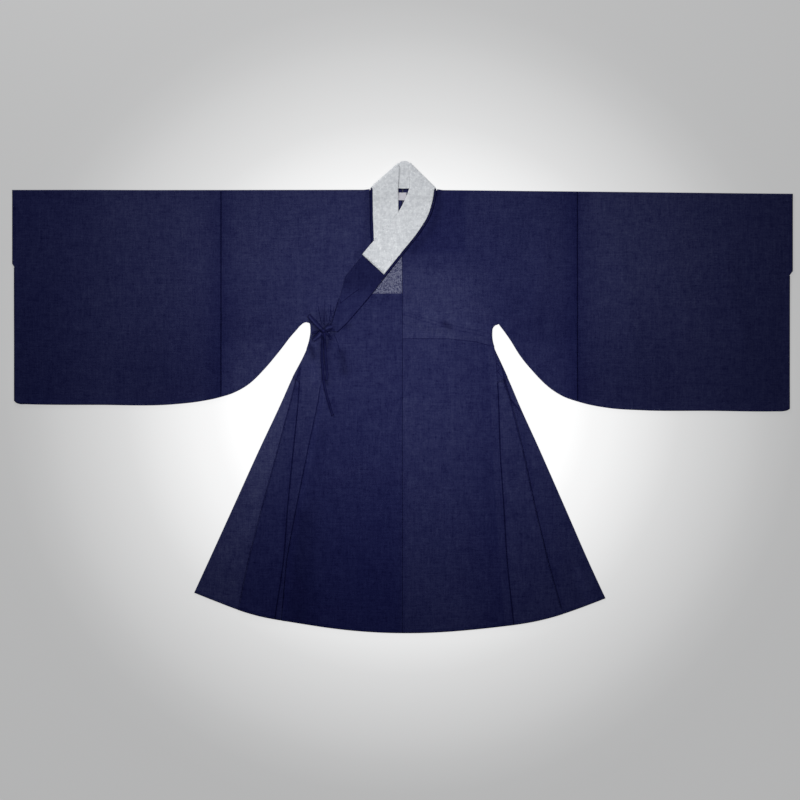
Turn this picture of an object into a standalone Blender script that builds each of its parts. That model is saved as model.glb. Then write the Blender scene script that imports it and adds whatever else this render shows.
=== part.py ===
"""Wide-sleeved, cross-collared robe, laid flat and face up on the surface that it rests on.

Metres, +Z up. The origin is on that surface, under the middle of the robe. +Y runs towards the neck and +X towards
the wearer's left sleeve. The robe closes left over right, so the wearer's left front is on top.

Each cut piece of cloth is its own solid: a middle surface laid over whatever is below it, then thickened into a
wall. "Out" is the distance from the centre seam towards either sleeve, and "side" is the wearer's own side.
"""
import math

import bmesh
import bpy
import numpy as np
from mathutils import Vector

NAME = "hanfu_robe"

# Cloth
WALL = 0.0010
COVER_WALL = 0.0012
CLEARANCE = 0.00035
SEAM_GAP = 0.0003
FOLD_PUFF = 0.0009
FOLD_STEPS = 4
UNDERARM_LEAN = 0.4
CUFF_LEAN = 0.6
ARMPIT_PUFF_ROWS = 4
SIGN = {"right": -1.0, "left": 1.0}

# Main sizes of the robe, as distances from the origin
CUFF_OUT = 1.1490
CUFF_CLOSED_STEP = 0.0055
SHOULDER_Y = 0.6096
SHOULDER_DROP = {"right": 0.0, "left": 0.0115}
HEM_Y = -0.6935
HEM_RADIUS = 1.696
HEM_TILT = 0.0075
NECK_CORNER_OUT = {"right": 0.0966, "left": 0.1019}
BACK_NECK_Y = 0.6125
SLEEVE_SEAM_OUT = {"right": 0.5345, "left": 0.5154}
ARMPIT = {"right": (0.2842, 0.2238), "left": (0.2842, 0.2180)}
CUFF_OPENING_Y = {"right": 0.3890, "left": 0.3700}
GORE_TOP_Y = 0.0440
FRONT_STEP_Y = 0.0447

# Lower edge of the sleeve from the armpit to the cuff
UNDERSIDE_COLUMNS = ("out", "y")
UNDERSIDE = {
    "right": (
        (0.2842, 0.2238), (0.3040, 0.2150), (0.3166, 0.2032), (0.3608, 0.1414), (0.4049, 0.0883), (0.4491, 0.0442),
        (0.4933, 0.0177), (0.5374, 0.0029), (0.6000, -0.0100), (0.6700, -0.0177), (0.9000, -0.0178),
        (1.1100, -0.0177), (1.1265, -0.0172), (1.1380, -0.0125), (1.1440, -0.0060), (1.1500, 0.0040),
    ),
    "left": (
        (0.2842, 0.2180), (0.3166, 0.1737), (0.3460, 0.1266), (0.3843, 0.0795), (0.4314, 0.0324),
        (0.4668, 0.0088), (0.5227, -0.0118), (0.6111, -0.0294), (0.6994, -0.0353), (0.9000, -0.0375),
        (1.1000, -0.0390), (1.1200, -0.0385), (1.1370, -0.0335), (1.1440, -0.0270), (1.1500, -0.0150),
    ),
}

# Lines that run down the skirt on each side, as distances out from the centre seam
SKIRT_COLUMNS = ("y", "outline", "pleat_fold", "front_seam", "back_seam", "overlap_edge")
SKIRT = {
    "right": (
        (0.2238, 0.2842, 0.2842, 0.2842, 0.2842, 0.2050),
        (0.1973, 0.2700, 0.2700, 0.2700, 0.2700, 0.2110),
        (0.1737, 0.2724, 0.2724, 0.2724, 0.2724, 0.2165),
        (0.0447, 0.3304, 0.3304, 0.3304, 0.3304, 0.2404),
        (0.0440, 0.3308, 0.3140, 0.3035, 0.3120, 0.2405),
        (-0.0088, 0.3528, 0.3269, 0.3069, 0.3180, 0.2468),
        (-0.1561, 0.4199, 0.3663, 0.3216, 0.3420, 0.2783),
        (-0.3269, 0.4968, 0.4126, 0.3384, 0.3700, 0.3122),
        (-0.4800, 0.5666, 0.4520, 0.3504, 0.3950, 0.3401),
        (-0.6200, 0.6310, 0.4810, 0.3710, 0.4180, 0.3525),
    ),
    "left": (
        (0.2180, 0.2842, 0.2842, 0.2842, 0.2842, 0.2500),
        (0.1920, 0.2620, 0.2620, 0.2620, 0.2620, 0.2520),
        (0.1737, 0.2620, 0.2620, 0.2620, 0.2620, 0.2520),
        (0.0447, 0.3127, 0.3127, 0.3127, 0.3127, 0.2569),
        (0.0440, 0.3130, 0.2975, 0.2800, 0.2950, 0.2570),
        (-0.0088, 0.3357, 0.3166, 0.2827, 0.3010, 0.2600),
        (-0.1561, 0.4011, 0.3534, 0.2877, 0.3250, 0.2660),
        (-0.3269, 0.4762, 0.3902, 0.2989, 0.3530, 0.2760),
        (-0.4800, 0.5433, 0.4270, 0.3083, 0.3780, 0.2860),
        (-0.6200, 0.6080, 0.4660, 0.3225, 0.4010, 0.2970),
    ),
}
INNER_PLEAT_SET_IN = 0.0030

# The collar band lies in three stretches that meet at the slanted folds beside the neck. Each row holds a point on
# its neck side and one on the side that is sewn to the panels.
COLLAR_COLUMNS = ("neck_x", "neck_y", "sewn_x", "sewn_y")
COLLAR_OUTER = (
    (0.0203, 0.6944, 0.0980, 0.6136),
    (0.0221, 0.6184, 0.1016, 0.6096),
    (0.0103, 0.5878, 0.0951, 0.5713),
    (-0.0118, 0.5472, 0.0795, 0.5271),
    (-0.0471, 0.5036, 0.0545, 0.4874),
    (-0.0863, 0.4576, 0.0118, 0.4329),
    (-0.1163, 0.4193, -0.0486, 0.3563),
    (-0.1682, 0.3569, -0.0957, 0.2974),
    (-0.1870, 0.2836, -0.1399, 0.2459),
    (-0.2038, 0.2341, -0.1693, 0.2135),
    (-0.2120, 0.1973, -0.1914, 0.1929),
)
COLLAR_INNER = (
    (-0.0109, 0.6941, -0.0928, 0.6172),
    (-0.0147, 0.6184, -0.0963, 0.6096),
    (-0.0133, 0.5478, -0.0957, 0.5478),
    (-0.0088, 0.4624, -0.0928, 0.4624),
    (-0.0015, 0.3063, -0.0854, 0.3063),
    (-0.0015, 0.1826, -0.0700, 0.1826),
)
COLLAR_SPREAD = 3
COLLAR_COLUMN_COUNT = 4
COVER_OUTER_ROWS = 7
COVER_INNER_ROWS = 5
COVER_MARGIN = 0.0085
COVER_FOLD_MARGIN = 0.0040
COVER_NECK_OUT = 0.0006
COVER_LIP_OUT = 0.0014

# Panels
INNER_OVERLAP_TOP_Y = (0.1737, 0.1737, 0.1649, 0.1560)
INNER_OVERLAP_TOP_OUT = (0.0, 0.1310, 0.2135, 0.2570)
COLLAR_END_Y = 0.1810
COLLAR_TIP_Y = 0.1924
BODY_ROWS = {
    "right": (0.6096, 0.5800, 0.5478, 0.5050, 0.4624, 0.4100, 0.3550, 0.3063, 0.2600),
    "left": (0.6096, 0.5713, 0.5271, 0.4874, 0.4329, 0.4170, 0.3700, 0.3200, 0.2700),
}
ARMPIT_ROWS = (0.1973, 0.1822, 0.1800, 0.1150)
SKIRT_ROWS = (0.10, 0.22, 0.34, 0.47, 0.60, 0.73, 0.87, 1.0)
EDGE_STEPS = (0.0, 0.018, 0.045, 0.080)
OUTER_OVERLAP_ROWS = (0.4150, 0.3563, 0.2974, 0.2459, 0.2135, 0.1926, 0.1922, 0.1150)
OUTER_OVERLAP_COLLAR_ROW = 5
OVERLAP_HEAD_SHARES = (0.0, 0.45)
BODY_COLUMNS = 10
BACK_NECK_COLUMNS = 3
SLEEVE_ROOT_COLUMNS = 10

# Sleeve beyond its seam: places out to the cuff and down from its top fold, as shares of its length and depth
SLEEVE_STATIONS = (0.0, 0.07, 0.16, 0.25, 0.35, 0.60, 0.85, 0.945, 0.967, 0.985, 0.995, 1.0)
SLEEVE_SHARES = (0.0, 0.17, 0.35, 0.37, 0.58, 0.80, 1.0)
CUFF_OPEN_ROWS = 3
CUFF_STEP_DEPTH = 0.008

# Steps in which a point on the slanting lines of the skirt is brought onto its row
SETTLE_STEPS = 6
SETTLE_FROM_OUT = 0.3

# Label and ties
LABEL_CORNERS = ((-0.0133, 0.5810), (0.0118, 0.6037))
KNOT_AT = (-0.2326, 0.1958)
KNOT_SIZE = (0.0150, 0.0120, 0.0050)
TIE_WIDTH = 0.0075
LOOP_RADIUS = 0.0012
LOOP_POINTS = 6
INNER_TIE_WIDTH = 0.0100
INNER_TIE_POINTS = 6
TIE_ROUTES = {
    "tie_collar": (((-0.1995, 0.1990), (-0.2100, 0.1980), (-0.2257, 0.1960)), 5),
    "tie_side": (((-0.2660, 0.1890), (-0.2560, 0.1915), (-0.2394, 0.1952)), 6),
    "tie_end": (((-0.2265, 0.1920), (-0.2160, 0.1830), (-0.2090, 0.1710)), 6),
    "tie_tail_long": (((-0.2345, 0.1898), (-0.2371, 0.1178), (-0.2312, 0.0448), (-0.2224, 0.0053),
                       (-0.2055, -0.0530)), 22),
    "tie_tail_short": (((-0.2290, 0.1898), (-0.2262, 0.1178), (-0.2218, 0.0736), (-0.2235, 0.0500)), 14),
}
LOOPS = {
    "tie_loop_upper": ((-0.2375, 0.2012), (-0.2735, 0.2385)),
    "tie_loop_lower": ((-0.2390, 0.1905), (-0.2600, 0.1700)),
    "tie_loop_small": ((-0.2262, 0.2000), (-0.2080, 0.2080)),
}
INNER_TIE_ROUTES = {
    "tie_inner_front": ((0.0014, 0.2500), (0.0515, 0.2330), (0.0860, 0.2230), (0.1220, 0.2125)),
    "tie_inner_side": ((0.1330, 0.2110), (0.1900, 0.1980), (0.2300, 0.1890), (0.2560, 0.1840)),
}

# Colours, roughness
CLOTH_BLUE = ((0.0100, 0.0125, 0.0520), 0.72)
COLLAR_BLUE = ((0.0075, 0.0095, 0.0440), 0.70)
COVER_WHITE = ((0.6000, 0.6150, 0.6450), 0.60)
LABEL_WHITE = ((0.5600, 0.5500, 0.5900), 0.65)
TIE_BLUE = ((0.0060, 0.0075, 0.0350), 0.70)

# Height map of the cloth laid so far
CELL = 0.002
MAP_HALF_X = 1.20
MAP_HALF_Y = 0.75


def clear_scene():
    for item in list(bpy.data.objects):
        bpy.data.objects.remove(item)


def make_collection(name):
    collection = bpy.data.collections.new(name)
    bpy.context.scene.collection.children.link(collection)
    return collection


def make_material(name, look):
    colour, roughness = look
    material = bpy.data.materials.new(name)
    material.use_nodes = True
    shader = material.node_tree.nodes["Principled BSDF"]
    shader.inputs["Base Color"].default_value = (*colour, 1.0)
    shader.inputs["Roughness"].default_value = roughness
    shader.inputs["Metallic"].default_value = 0.0
    return material


class Stack:
    """Height of the topmost cloth at each place of the surface, on a square grid."""

    def __init__(self):
        cells_x = round(2 * MAP_HALF_X / CELL)
        cells_y = round(2 * MAP_HALF_Y / CELL)
        self.top = np.zeros((cells_y, cells_x))

    def highest(self, x, y, reach_x, reach_y):
        """Highest cloth within a rectangle around a point."""
        low_x = int((x - reach_x + MAP_HALF_X) / CELL)
        high_x = int((x + reach_x + MAP_HALF_X) / CELL) + 1
        low_y = int((y - reach_y + MAP_HALF_Y) / CELL)
        high_y = int((y + reach_y + MAP_HALF_Y) / CELL) + 1
        return self.top[max(low_y, 0):high_y, max(low_x, 0):high_x].max()

    def add(self, sheet, wall=WALL):
        """Raises the map to the upper face of a laid sheet, a grid of points on its middle surface."""
        rows, columns = sheet.shape[:2]
        for row in range(rows - 1):
            for column in range(columns - 1):
                self.add_quad(sheet[row:row + 2, column:column + 2], wall)

    def add_quad(self, corners, wall):
        size = max(np.ptp(corners[..., 0]), np.ptp(corners[..., 1]))
        steps = int(size / (0.6 * CELL)) + 2
        u, v = np.meshgrid(np.linspace(0, 1, steps), np.linspace(0, 1, steps))
        weights = ((1 - v) * (1 - u), (1 - v) * u, v * (1 - u), v * u)
        points = sum(w[..., None] * c for w, c in zip(weights, corners.reshape(4, 3)))
        across = ((points[..., 0] + MAP_HALF_X) / CELL).astype(int)
        along = ((points[..., 1] + MAP_HALF_Y) / CELL).astype(int)
        np.maximum.at(self.top, (along, across), points[..., 2] + wall / 2)


def reach_of(flat):
    """How far each point of a grid lies from its neighbours, across and along."""
    reach = np.zeros(flat.shape)
    for axis in (0, 1):
        step = np.abs(np.diff(flat, axis=axis))
        before = [slice(None), slice(None)]
        after = [slice(None), slice(None)]
        before[axis] = slice(0, -1)
        after[axis] = slice(1, None)
        reach[tuple(before)] = np.maximum(reach[tuple(before)], step)
        reach[tuple(after)] = np.maximum(reach[tuple(after)], step)
    return reach + 0.001


def lay(stack, flat, reach=None, wall=WALL):
    """Puts a flat grid on the cloth laid so far, just clear of it, and returns its middle surface."""
    reach = reach_of(flat) if reach is None else reach
    heights = np.zeros(flat.shape[:2])
    for place in np.ndindex(heights.shape):
        below = stack.highest(*flat[place], *reach[place])
        clearance = CLEARANCE if below > 0 else 0.0
        heights[place] = below + clearance + wall / 2
    return np.dstack([flat, heights])


def at_height(flat, height):
    """A flat grid of points, all at one height."""
    return np.dstack([flat, np.full(flat.shape[:2], height)])


def grid(rows, columns, place):
    """Grid of flat points, where place(row, column) gives x and y."""
    return np.array([[place(row, column) for column in range(columns)] for row in range(rows)])


def table_line(table, columns, name, key):
    """A column of a table read at a value of its first column."""
    keys = np.array([row[0] for row in table])
    values = np.array([row[columns.index(name)] for row in table])
    order = np.argsort(keys)
    return float(np.interp(key, keys[order], values[order]))


def skirt_out(side, line, y):
    return table_line(SKIRT[side], SKIRT_COLUMNS, line, y)


def skirt_line(side, line, shift=0.0):
    """Function that gives a skirt line's distance out at a height, moved outwards by a shift."""
    return lambda y: skirt_out(side, line, y) + shift


def underside_y(side, out):
    """The sleeve's lower edge, a smooth curve through the points of its table."""
    outs, heights = (np.array([row[UNDERSIDE_COLUMNS.index(name)] for row in UNDERSIDE[side]])
                     for name in UNDERSIDE_COLUMNS)
    slopes = np.gradient(heights, outs)
    index = int(np.clip(np.searchsorted(outs, out) - 1, 0, len(outs) - 2))
    span = outs[index + 1] - outs[index]
    t = min(max((out - outs[index]) / span, 0.0), 1.0)
    start, end = heights[index:index + 2]
    start_slope, end_slope = slopes[index:index + 2] * span
    return float(start * (2 * t ** 3 - 3 * t ** 2 + 1) + start_slope * (t ** 3 - 2 * t ** 2 + t)
                 + end * (3 * t ** 2 - 2 * t ** 3) + end_slope * (t ** 3 - t ** 2))


def shoulder_y(side, out):
    slope = max(out - NECK_CORNER_OUT[side], 0.0) / (CUFF_OUT - NECK_CORNER_OUT[side])
    return SHOULDER_Y - SHOULDER_DROP[side] * slope


def hem_y(x):
    """The hem is an arc, a little lower towards the wearer's left."""
    return HEM_Y + HEM_RADIUS - math.sqrt(HEM_RADIUS ** 2 - x ** 2) - HEM_TILT * x


def skirt_y(row, x, top_y=GORE_TOP_Y):
    """Height of a row of the skirt, from the top of the gores down to the hem."""
    return top_y + (hem_y(x) - top_y) * ((0.0,) + SKIRT_ROWS)[row]


def skirt_grid(side, outer, inner, columns):
    """Strip of the skirt between two lines, from just under the front panel's corner down to the hem."""
    sign = SIGN[side]
    top_y = GORE_TOP_Y - 2 * SEAM_GAP

    def place(row, column):
        x = sign * SETTLE_FROM_OUT
        for _ in range(SETTLE_STEPS):
            y = skirt_y(row, x, top_y)
            x = sign * (outer(y) + (inner(y) - outer(y)) * column / (columns - 1))
        return x, skirt_y(row, x, top_y)

    return grid(len(SKIRT_ROWS) + 1, columns, place)


def edge_columns(width, near, count):
    """Places across a strip: close together at its near edge, then evenly spread."""
    fixed = [step for step in near if step < width * 0.6]
    spread = np.linspace(fixed[-1], width, count - len(fixed) + 1)[1:]
    return np.array(fixed + list(spread))


def sewn_edge_x(rows, y):
    """X of the collar's sewn edge at a height."""
    values, heights = (np.array([row[COLLAR_COLUMNS.index(name)] for row in rows]) for name in ("sewn_x", "sewn_y"))
    order = np.argsort(heights)
    return float(np.interp(y, heights[order], values[order]))


def inner_edge_out(side, y):
    """Where a front panel ends towards the middle: along its collar, and below that at the centre seam."""
    if side == "right":
        if y < COLLAR_END_Y:
            return SEAM_GAP / 2
        return -sewn_edge_x(COLLAR_INNER[1:], y) + SEAM_GAP
    return max(sewn_edge_x(COLLAR_OUTER[1:], y) + 1.5 * SEAM_GAP, SEAM_GAP / 2)


def body_rows(side):
    """Heights of the rows from the shoulder to the top of the gores, and the number of rows above the armpit."""
    armpit_y = ARMPIT[side][1]
    above = [*BODY_ROWS[side], armpit_y]
    return above + [y for y in ARMPIT_ROWS if y < armpit_y] + [FRONT_STEP_Y], len(above)


def front_body_flat(side):
    """Front of a body panel between the collar or centre seam and the side."""
    sign = SIGN[side]
    rows, above = body_rows(side)
    armpit_out = ARMPIT[side][0]
    lines = []
    for index, y in enumerate(rows):
        outer = armpit_out if index < above else skirt_out(side, "outline", y)
        inner = inner_edge_out(side, y)
        steps = edge_columns(outer - inner, EDGE_STEPS, BODY_COLUMNS)
        lines.append([(sign * (outer - step), min(y, shoulder_y(side, outer - step))) for step in steps])
    lines.extend(skirt_rows(side, skirt_line(side, "front_seam", -SEAM_GAP / 2), BODY_COLUMNS))
    return np.array(lines)


def skirt_rows(side, outer, count):
    """Rows of a skirt panel from the centre seam to a line, its columns close together near that line."""
    sign = SIGN[side]
    lines = []
    for row in range(len(SKIRT_ROWS) + 1):
        line = []
        for column in range(count):
            x = sign * SETTLE_FROM_OUT
            for _ in range(SETTLE_STEPS):
                y = skirt_y(row, x)
                steps = edge_columns(outer(y) - SEAM_GAP / 2, EDGE_STEPS, count)
                x = sign * (outer(y) - steps[column])
            line.append((x, skirt_y(row, x)))
        lines.append(line)
    return lines


def back_body_flat(side):
    """Back of a body panel: the front's columns, and a few more across the back of the neck."""
    sign = SIGN[side]
    rows, above = body_rows(side)
    armpit_out = ARMPIT[side][0]
    neck_out = inner_edge_out(side, SHOULDER_Y)
    neck = np.linspace(neck_out, SEAM_GAP / 2, BACK_NECK_COLUMNS + 1)[1:]
    lines = []
    for index, y in enumerate(rows):
        outer = armpit_out if index < above else skirt_out(side, "outline", y)
        steps = edge_columns(outer - neck_out, EDGE_STEPS, BODY_COLUMNS)
        line = [(sign * (outer - step), min(y, shoulder_y(side, outer - step))) for step in steps]
        line.extend((sign * out, BACK_NECK_Y - SEAM_GAP if index == 0 else y) for out in neck)
        lines.append(line)
    count = BODY_COLUMNS + BACK_NECK_COLUMNS
    lines.extend(skirt_rows(side, skirt_line(side, "back_seam", -SEAM_GAP / 2), count))
    return np.array(lines)


def sleeve_root_flat(side):
    """The part of a body panel that reaches past the armpit to the sleeve seam."""
    sign = SIGN[side]
    rows, above = body_rows(side)
    armpit_out, armpit_y = ARMPIT[side]
    share = [(rows[0] - y) / (rows[0] - armpit_y) for y in rows[:above]]
    seam = SLEEVE_SEAM_OUT[side] - SEAM_GAP / 2

    def place(row, column):
        out = armpit_out + (seam - armpit_out) * column / SLEEVE_ROOT_COLUMNS
        top = shoulder_y(side, out)
        bottom = armpit_y if column == 0 else underside_y(side, out)
        if column == 0:
            return sign * out, min(rows[row], shoulder_y(side, out))
        return sign * out, top + (bottom - top) * share[row]

    return grid(above, SLEEVE_ROOT_COLUMNS + 1, place)


def fold_strip(upper, lower, outward):
    """Rounded strip that joins two edges lying over each other, bulging along the outward directions."""
    strip = []
    for high, low, way in zip(upper, lower, outward):
        middle = (high + low) / 2
        radius = (high[2] - low[2]) / 2
        arc = []
        for step in range(FOLD_STEPS + 1):
            turn = math.pi * step / FOLD_STEPS
            share = step / FOLD_STEPS
            flat = high[:2] + (low[:2] - high[:2]) * share + np.array(way) * radius * math.sin(turn)
            arc.append((*flat, middle[2] + radius * math.cos(turn)))
        strip.append(arc)
    return np.array(strip)


def edge_ways(points, hint):
    """Outward directions along an edge, square to it and on the side of the hint."""
    flat = np.array(points)[:, :2]
    tangent = np.gradient(flat, axis=0)
    way = np.stack([tangent[:, 1], -tangent[:, 0]], axis=1)
    way /= np.linalg.norm(way, axis=1)[:, None]
    flip = np.sign(way @ np.array(hint))
    flip[flip == 0] = 1
    return way * flip[:, None]


def puff_edge(sheet, places):
    """Lifts the edge of an upper layer where the cloth turns over a fold."""
    for place in places:
        sheet[place][2] += FOLD_PUFF


def make_object(name, sheets, material, collection, wall=WALL):
    """Welds grids into one middle surface and thickens it into a cloth wall."""
    mesh = bpy.data.meshes.new(name)
    form = bmesh.new()
    for sheet in sheets:
        verts = [[form.verts.new(tuple(point)) for point in row] for row in sheet]
        for row in range(len(verts) - 1):
            for column in range(len(verts[row]) - 1):
                corners = (verts[row][column], verts[row][column + 1],
                           verts[row + 1][column + 1], verts[row + 1][column])
                form.faces.new(corners)
    bmesh.ops.remove_doubles(form, verts=form.verts, dist=0.00002)
    bmesh.ops.recalc_face_normals(form, faces=form.faces)
    form.to_mesh(mesh)
    form.free()
    mesh.shade_smooth()
    mesh.materials.append(material)
    piece = bpy.data.objects.new(name, mesh)
    collection.objects.link(piece)
    shell = piece.modifiers.new("wall", "SOLIDIFY")
    shell.thickness = wall
    shell.offset = 0.0
    return piece


def lay_leaf(stack, body, root):
    """Lays a panel and its sleeve root together, so that they share the armpit's column."""
    above = root.shape[0]
    body_reach = reach_of(body)
    root_reach = reach_of(root)
    shared = np.maximum(body_reach[:above, 0], root_reach[:, 0])
    body_reach[:above, 0] = shared
    root_reach[:, 0] = shared
    body_sheet = lay(stack, body, body_reach)
    root_sheet = lay(stack, root, root_reach)
    root_sheet[:, 0] = body_sheet[:above, 0]
    return body_sheet, root_sheet


def body_folds(side, front, front_root, back, back_root):
    """The fold over the shoulder, and the sewn edge from the cuff side past the armpit to the top of the gores."""
    sign = SIGN[side]
    above = front_root.shape[0]
    closed = above + len([y for y in ARMPIT_ROWS if y < ARMPIT[side][1]])
    shoulder_front = np.concatenate([front_root[0, ::-1], front[0, 1:]])
    shoulder_back = np.concatenate([back_root[0, ::-1], back[0, 1:BODY_COLUMNS]])
    under_front = np.concatenate([front_root[-1, ::-1], front[above:closed + 1, 0]])
    under_back = np.concatenate([back_root[-1, ::-1], back[above:closed + 1, 0]])
    up = [(0.0, 1.0)] * len(shoulder_front)
    ways = edge_ways(under_front, (sign * UNDERARM_LEAN, -1.0))
    return [fold_strip(shoulder_front, shoulder_back, up), fold_strip(under_front, under_back, ways)]


def lay_body_front(stack, side):
    """Front leaf of a body panel on the cloth below, puffed where it turns over its folds."""
    front, root = lay_leaf(stack, front_body_flat(side), sleeve_root_flat(side))
    puff_edge(front, [(0, column) for column in range(front.shape[1])])
    puff_edge(root, [(0, column) for column in range(1, root.shape[1])])
    puff_edge(root, [(root.shape[0] - 1, column) for column in range(1, root.shape[1])])
    puff_edge(front, [(row, 0) for row in range(root.shape[0] - 1, root.shape[0] + ARMPIT_PUFF_ROWS)])
    root[:, 0] = front[:root.shape[0], 0]
    return front, root


def sleeve_flat(side):
    """Sleeve beyond the seam, in stations out to the cuff and rows from the top fold down."""
    sign = SIGN[side]
    start = SLEEVE_SEAM_OUT[side] + SEAM_GAP / 2
    split = CUFF_OPENING_Y[side]

    def place(row, column):
        share = SLEEVE_STATIONS[column]
        end = CUFF_OUT - (CUFF_CLOSED_STEP if row >= CUFF_OPEN_ROWS else 0.0)
        out = start + (end - start) * share
        top = shoulder_y(side, out)
        bottom = underside_y(side, out)
        even = top + (bottom - top) * SLEEVE_SHARES[row]
        stepped = split + (CUFF_OPEN_ROWS - 0.5 - row) * CUFF_STEP_DEPTH
        near_step = share if row in (CUFF_OPEN_ROWS - 1, CUFF_OPEN_ROWS) else 0.0
        return sign * out, even + (stepped - even) * near_step

    return grid(len(SLEEVE_SHARES), len(SLEEVE_STATIONS), place)


def build_sleeve(stack, side, material, collection):
    """Folded along its top, sewn along its bottom and up the lower part of its cuff, open above that."""
    sign = SIGN[side]
    flat = sleeve_flat(side)
    back = at_height(flat, WALL / 2)
    stack.add(back)
    front = lay(stack, flat)
    rows, columns = flat.shape[:2]
    puff_edge(front, [(0, column) for column in range(columns)])
    puff_edge(front, [(rows - 1, column) for column in range(columns)])
    puff_edge(front, [(row, columns - 1) for row in range(CUFF_OPEN_ROWS, rows - 1)])
    stack.add(front)
    top = fold_strip(front[0], back[0], [(0.0, 1.0)] * columns)
    edge_front = np.concatenate([front[-1], front[CUFF_OPEN_ROWS:-1, -1][::-1]])
    edge_back = np.concatenate([back[-1], back[CUFF_OPEN_ROWS:-1, -1][::-1]])
    closed = fold_strip(edge_front, edge_back, edge_ways(edge_front, (sign * CUFF_LEAN, -1.0)))
    make_object(f"sleeve_{side}", [front, back, top, closed], material, collection)


def pleat_leaves(side):
    """The three leaves of a front gore's pleat, from the side of the skirt to the seam with the front panel."""
    hidden = skirt_line(side, "front_seam", INNER_PLEAT_SET_IN)
    outline = skirt_line(side, "outline")
    fold = skirt_line(side, "pleat_fold")
    seam = skirt_line(side, "front_seam", SEAM_GAP / 2)
    lower = skirt_grid(side, outline, hidden, 4)
    middle = skirt_grid(side, hidden, fold, 3)
    upper = skirt_grid(side, fold, seam, 3)
    return lower, middle, upper


def lay_pleat(stack, side):
    """Lower and middle leaves of a front gore. The upper leaf is laid later, with the front panel."""
    lower, middle, _ = pleat_leaves(side)
    lower = lay(stack, lower)
    stack.add(lower)
    middle = lay(stack, middle)
    stack.add(middle)
    return lower, middle


def build_gore(side, lower, middle, upper, material, collection):
    sign = SIGN[side]
    rows = len(lower)
    inward = [(-sign, 0.0)] * rows
    outward = [(sign, 0.0)] * rows
    hidden_fold = fold_strip(middle[:, 0], lower[:, -1], inward)
    pleat_fold = fold_strip(upper[:, 0], middle[:, -1], outward)
    make_object(f"gore_front_{side}", [lower, hidden_fold, middle, pleat_fold, upper], material, collection)


def back_gore(side):
    """The gore at the back of the skirt, one flat leaf out to the side."""
    flat = skirt_grid(side, skirt_line(side, "outline"), skirt_line(side, "back_seam", SEAM_GAP / 2), 4)
    return at_height(flat, WALL / 2)


def inner_overlap_flat():
    """Panel sewn to the wearer's right front at the centre, lying under the left front."""
    count = BODY_COLUMNS
    lines = skirt_rows("left", skirt_line("left", "overlap_edge"), count)
    outs = [x for x, _ in lines[0]]
    tops = [float(np.interp(out, INNER_OVERLAP_TOP_OUT, INNER_OVERLAP_TOP_Y)) for out in outs]
    head = []
    for share in OVERLAP_HEAD_SHARES:
        head.append([(x, top + (GORE_TOP_Y - top) * share) for x, top in zip(outs, tops)])
    return np.array(head + lines)


def outer_overlap_flat():
    """Panel sewn to the wearer's left front at the centre, crossing to the right under the collar's end."""
    count = BODY_COLUMNS
    lines = []
    for y in OUTER_OVERLAP_ROWS:
        if y > COLLAR_TIP_Y:
            outer = -sewn_edge_x(COLLAR_OUTER[OUTER_OVERLAP_COLLAR_ROW:], y) - 1.5 * SEAM_GAP
        else:
            outer = skirt_out("right", "overlap_edge", y)
        width = outer - SEAM_GAP / 2
        steps = edge_columns(width, EDGE_STEPS, count) if y < COLLAR_TIP_Y else np.linspace(0, width, count)
        lines.append([(-(outer - step), y) for step in steps])
    lines.extend(skirt_rows("right", skirt_line("right", "overlap_edge"), count))
    return np.array(lines)


def band_flat(rows, margins=(0.0, 0.0), neck_out=0.0):
    """Collar stretch as a grid from its neck side to its sewn side, with rows between the table's own.

    The sewn side is drawn in by the first margin at the slanted fold, and by the second along the rest.
    """
    table = np.array(rows)
    keys = np.arange(len(table))
    fine = np.linspace(0, len(table) - 1, (len(table) - 1) * COLLAR_SPREAD + 1)
    table = np.stack([np.interp(fine, keys, table[:, column]) for column in range(len(COLLAR_COLUMNS))], axis=1)
    lines = []
    for share, (neck_x, neck_y, sewn_x, sewn_y) in zip(fine, table):
        neck = np.array((neck_x, neck_y))
        sewn = np.array((sewn_x, sewn_y))
        across = (sewn - neck) / np.linalg.norm(sewn - neck)
        sewn = sewn - across * np.interp(share, (0, 1), margins)
        neck = neck - across * neck_out
        lines.append([neck + (sewn - neck) * step for step in np.linspace(0, 1, COLLAR_COLUMN_COUNT)])
    return np.array(lines)


def back_band_flat(margins=(0.0, 0.0), neck_out=0.0):
    """Stretch of the collar behind the neck, between the two slanted folds."""
    ends = (band_flat(COLLAR_INNER, margins, neck_out)[0], band_flat(COLLAR_OUTER, margins, neck_out)[0])
    return np.array([ends[0] + (ends[1] - ends[0]) * share for share in np.linspace(0, 1, COLLAR_COLUMN_COUNT)])


def cover_lip(sheet, band_height):
    """Lip along the cover's neck side, which turns down over the edge of the band."""
    across = sheet[:, 0, :2] - sheet[:, 1, :2]
    across /= np.linalg.norm(across, axis=1)[:, None]
    low = np.concatenate([sheet[:, 0, :2] + across * (COVER_LIP_OUT - COVER_NECK_OUT),
                          sheet[:, 0, 2:] - band_height], axis=1)
    return np.stack([low, sheet[:, 0]], axis=1)


def slanted_fold(front, back_edge, hint):
    """Fold beside the neck, where a front stretch of the collar turns over from the stretch behind the neck."""
    return fold_strip(front[0], back_edge, edge_ways(front[0], hint))


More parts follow.
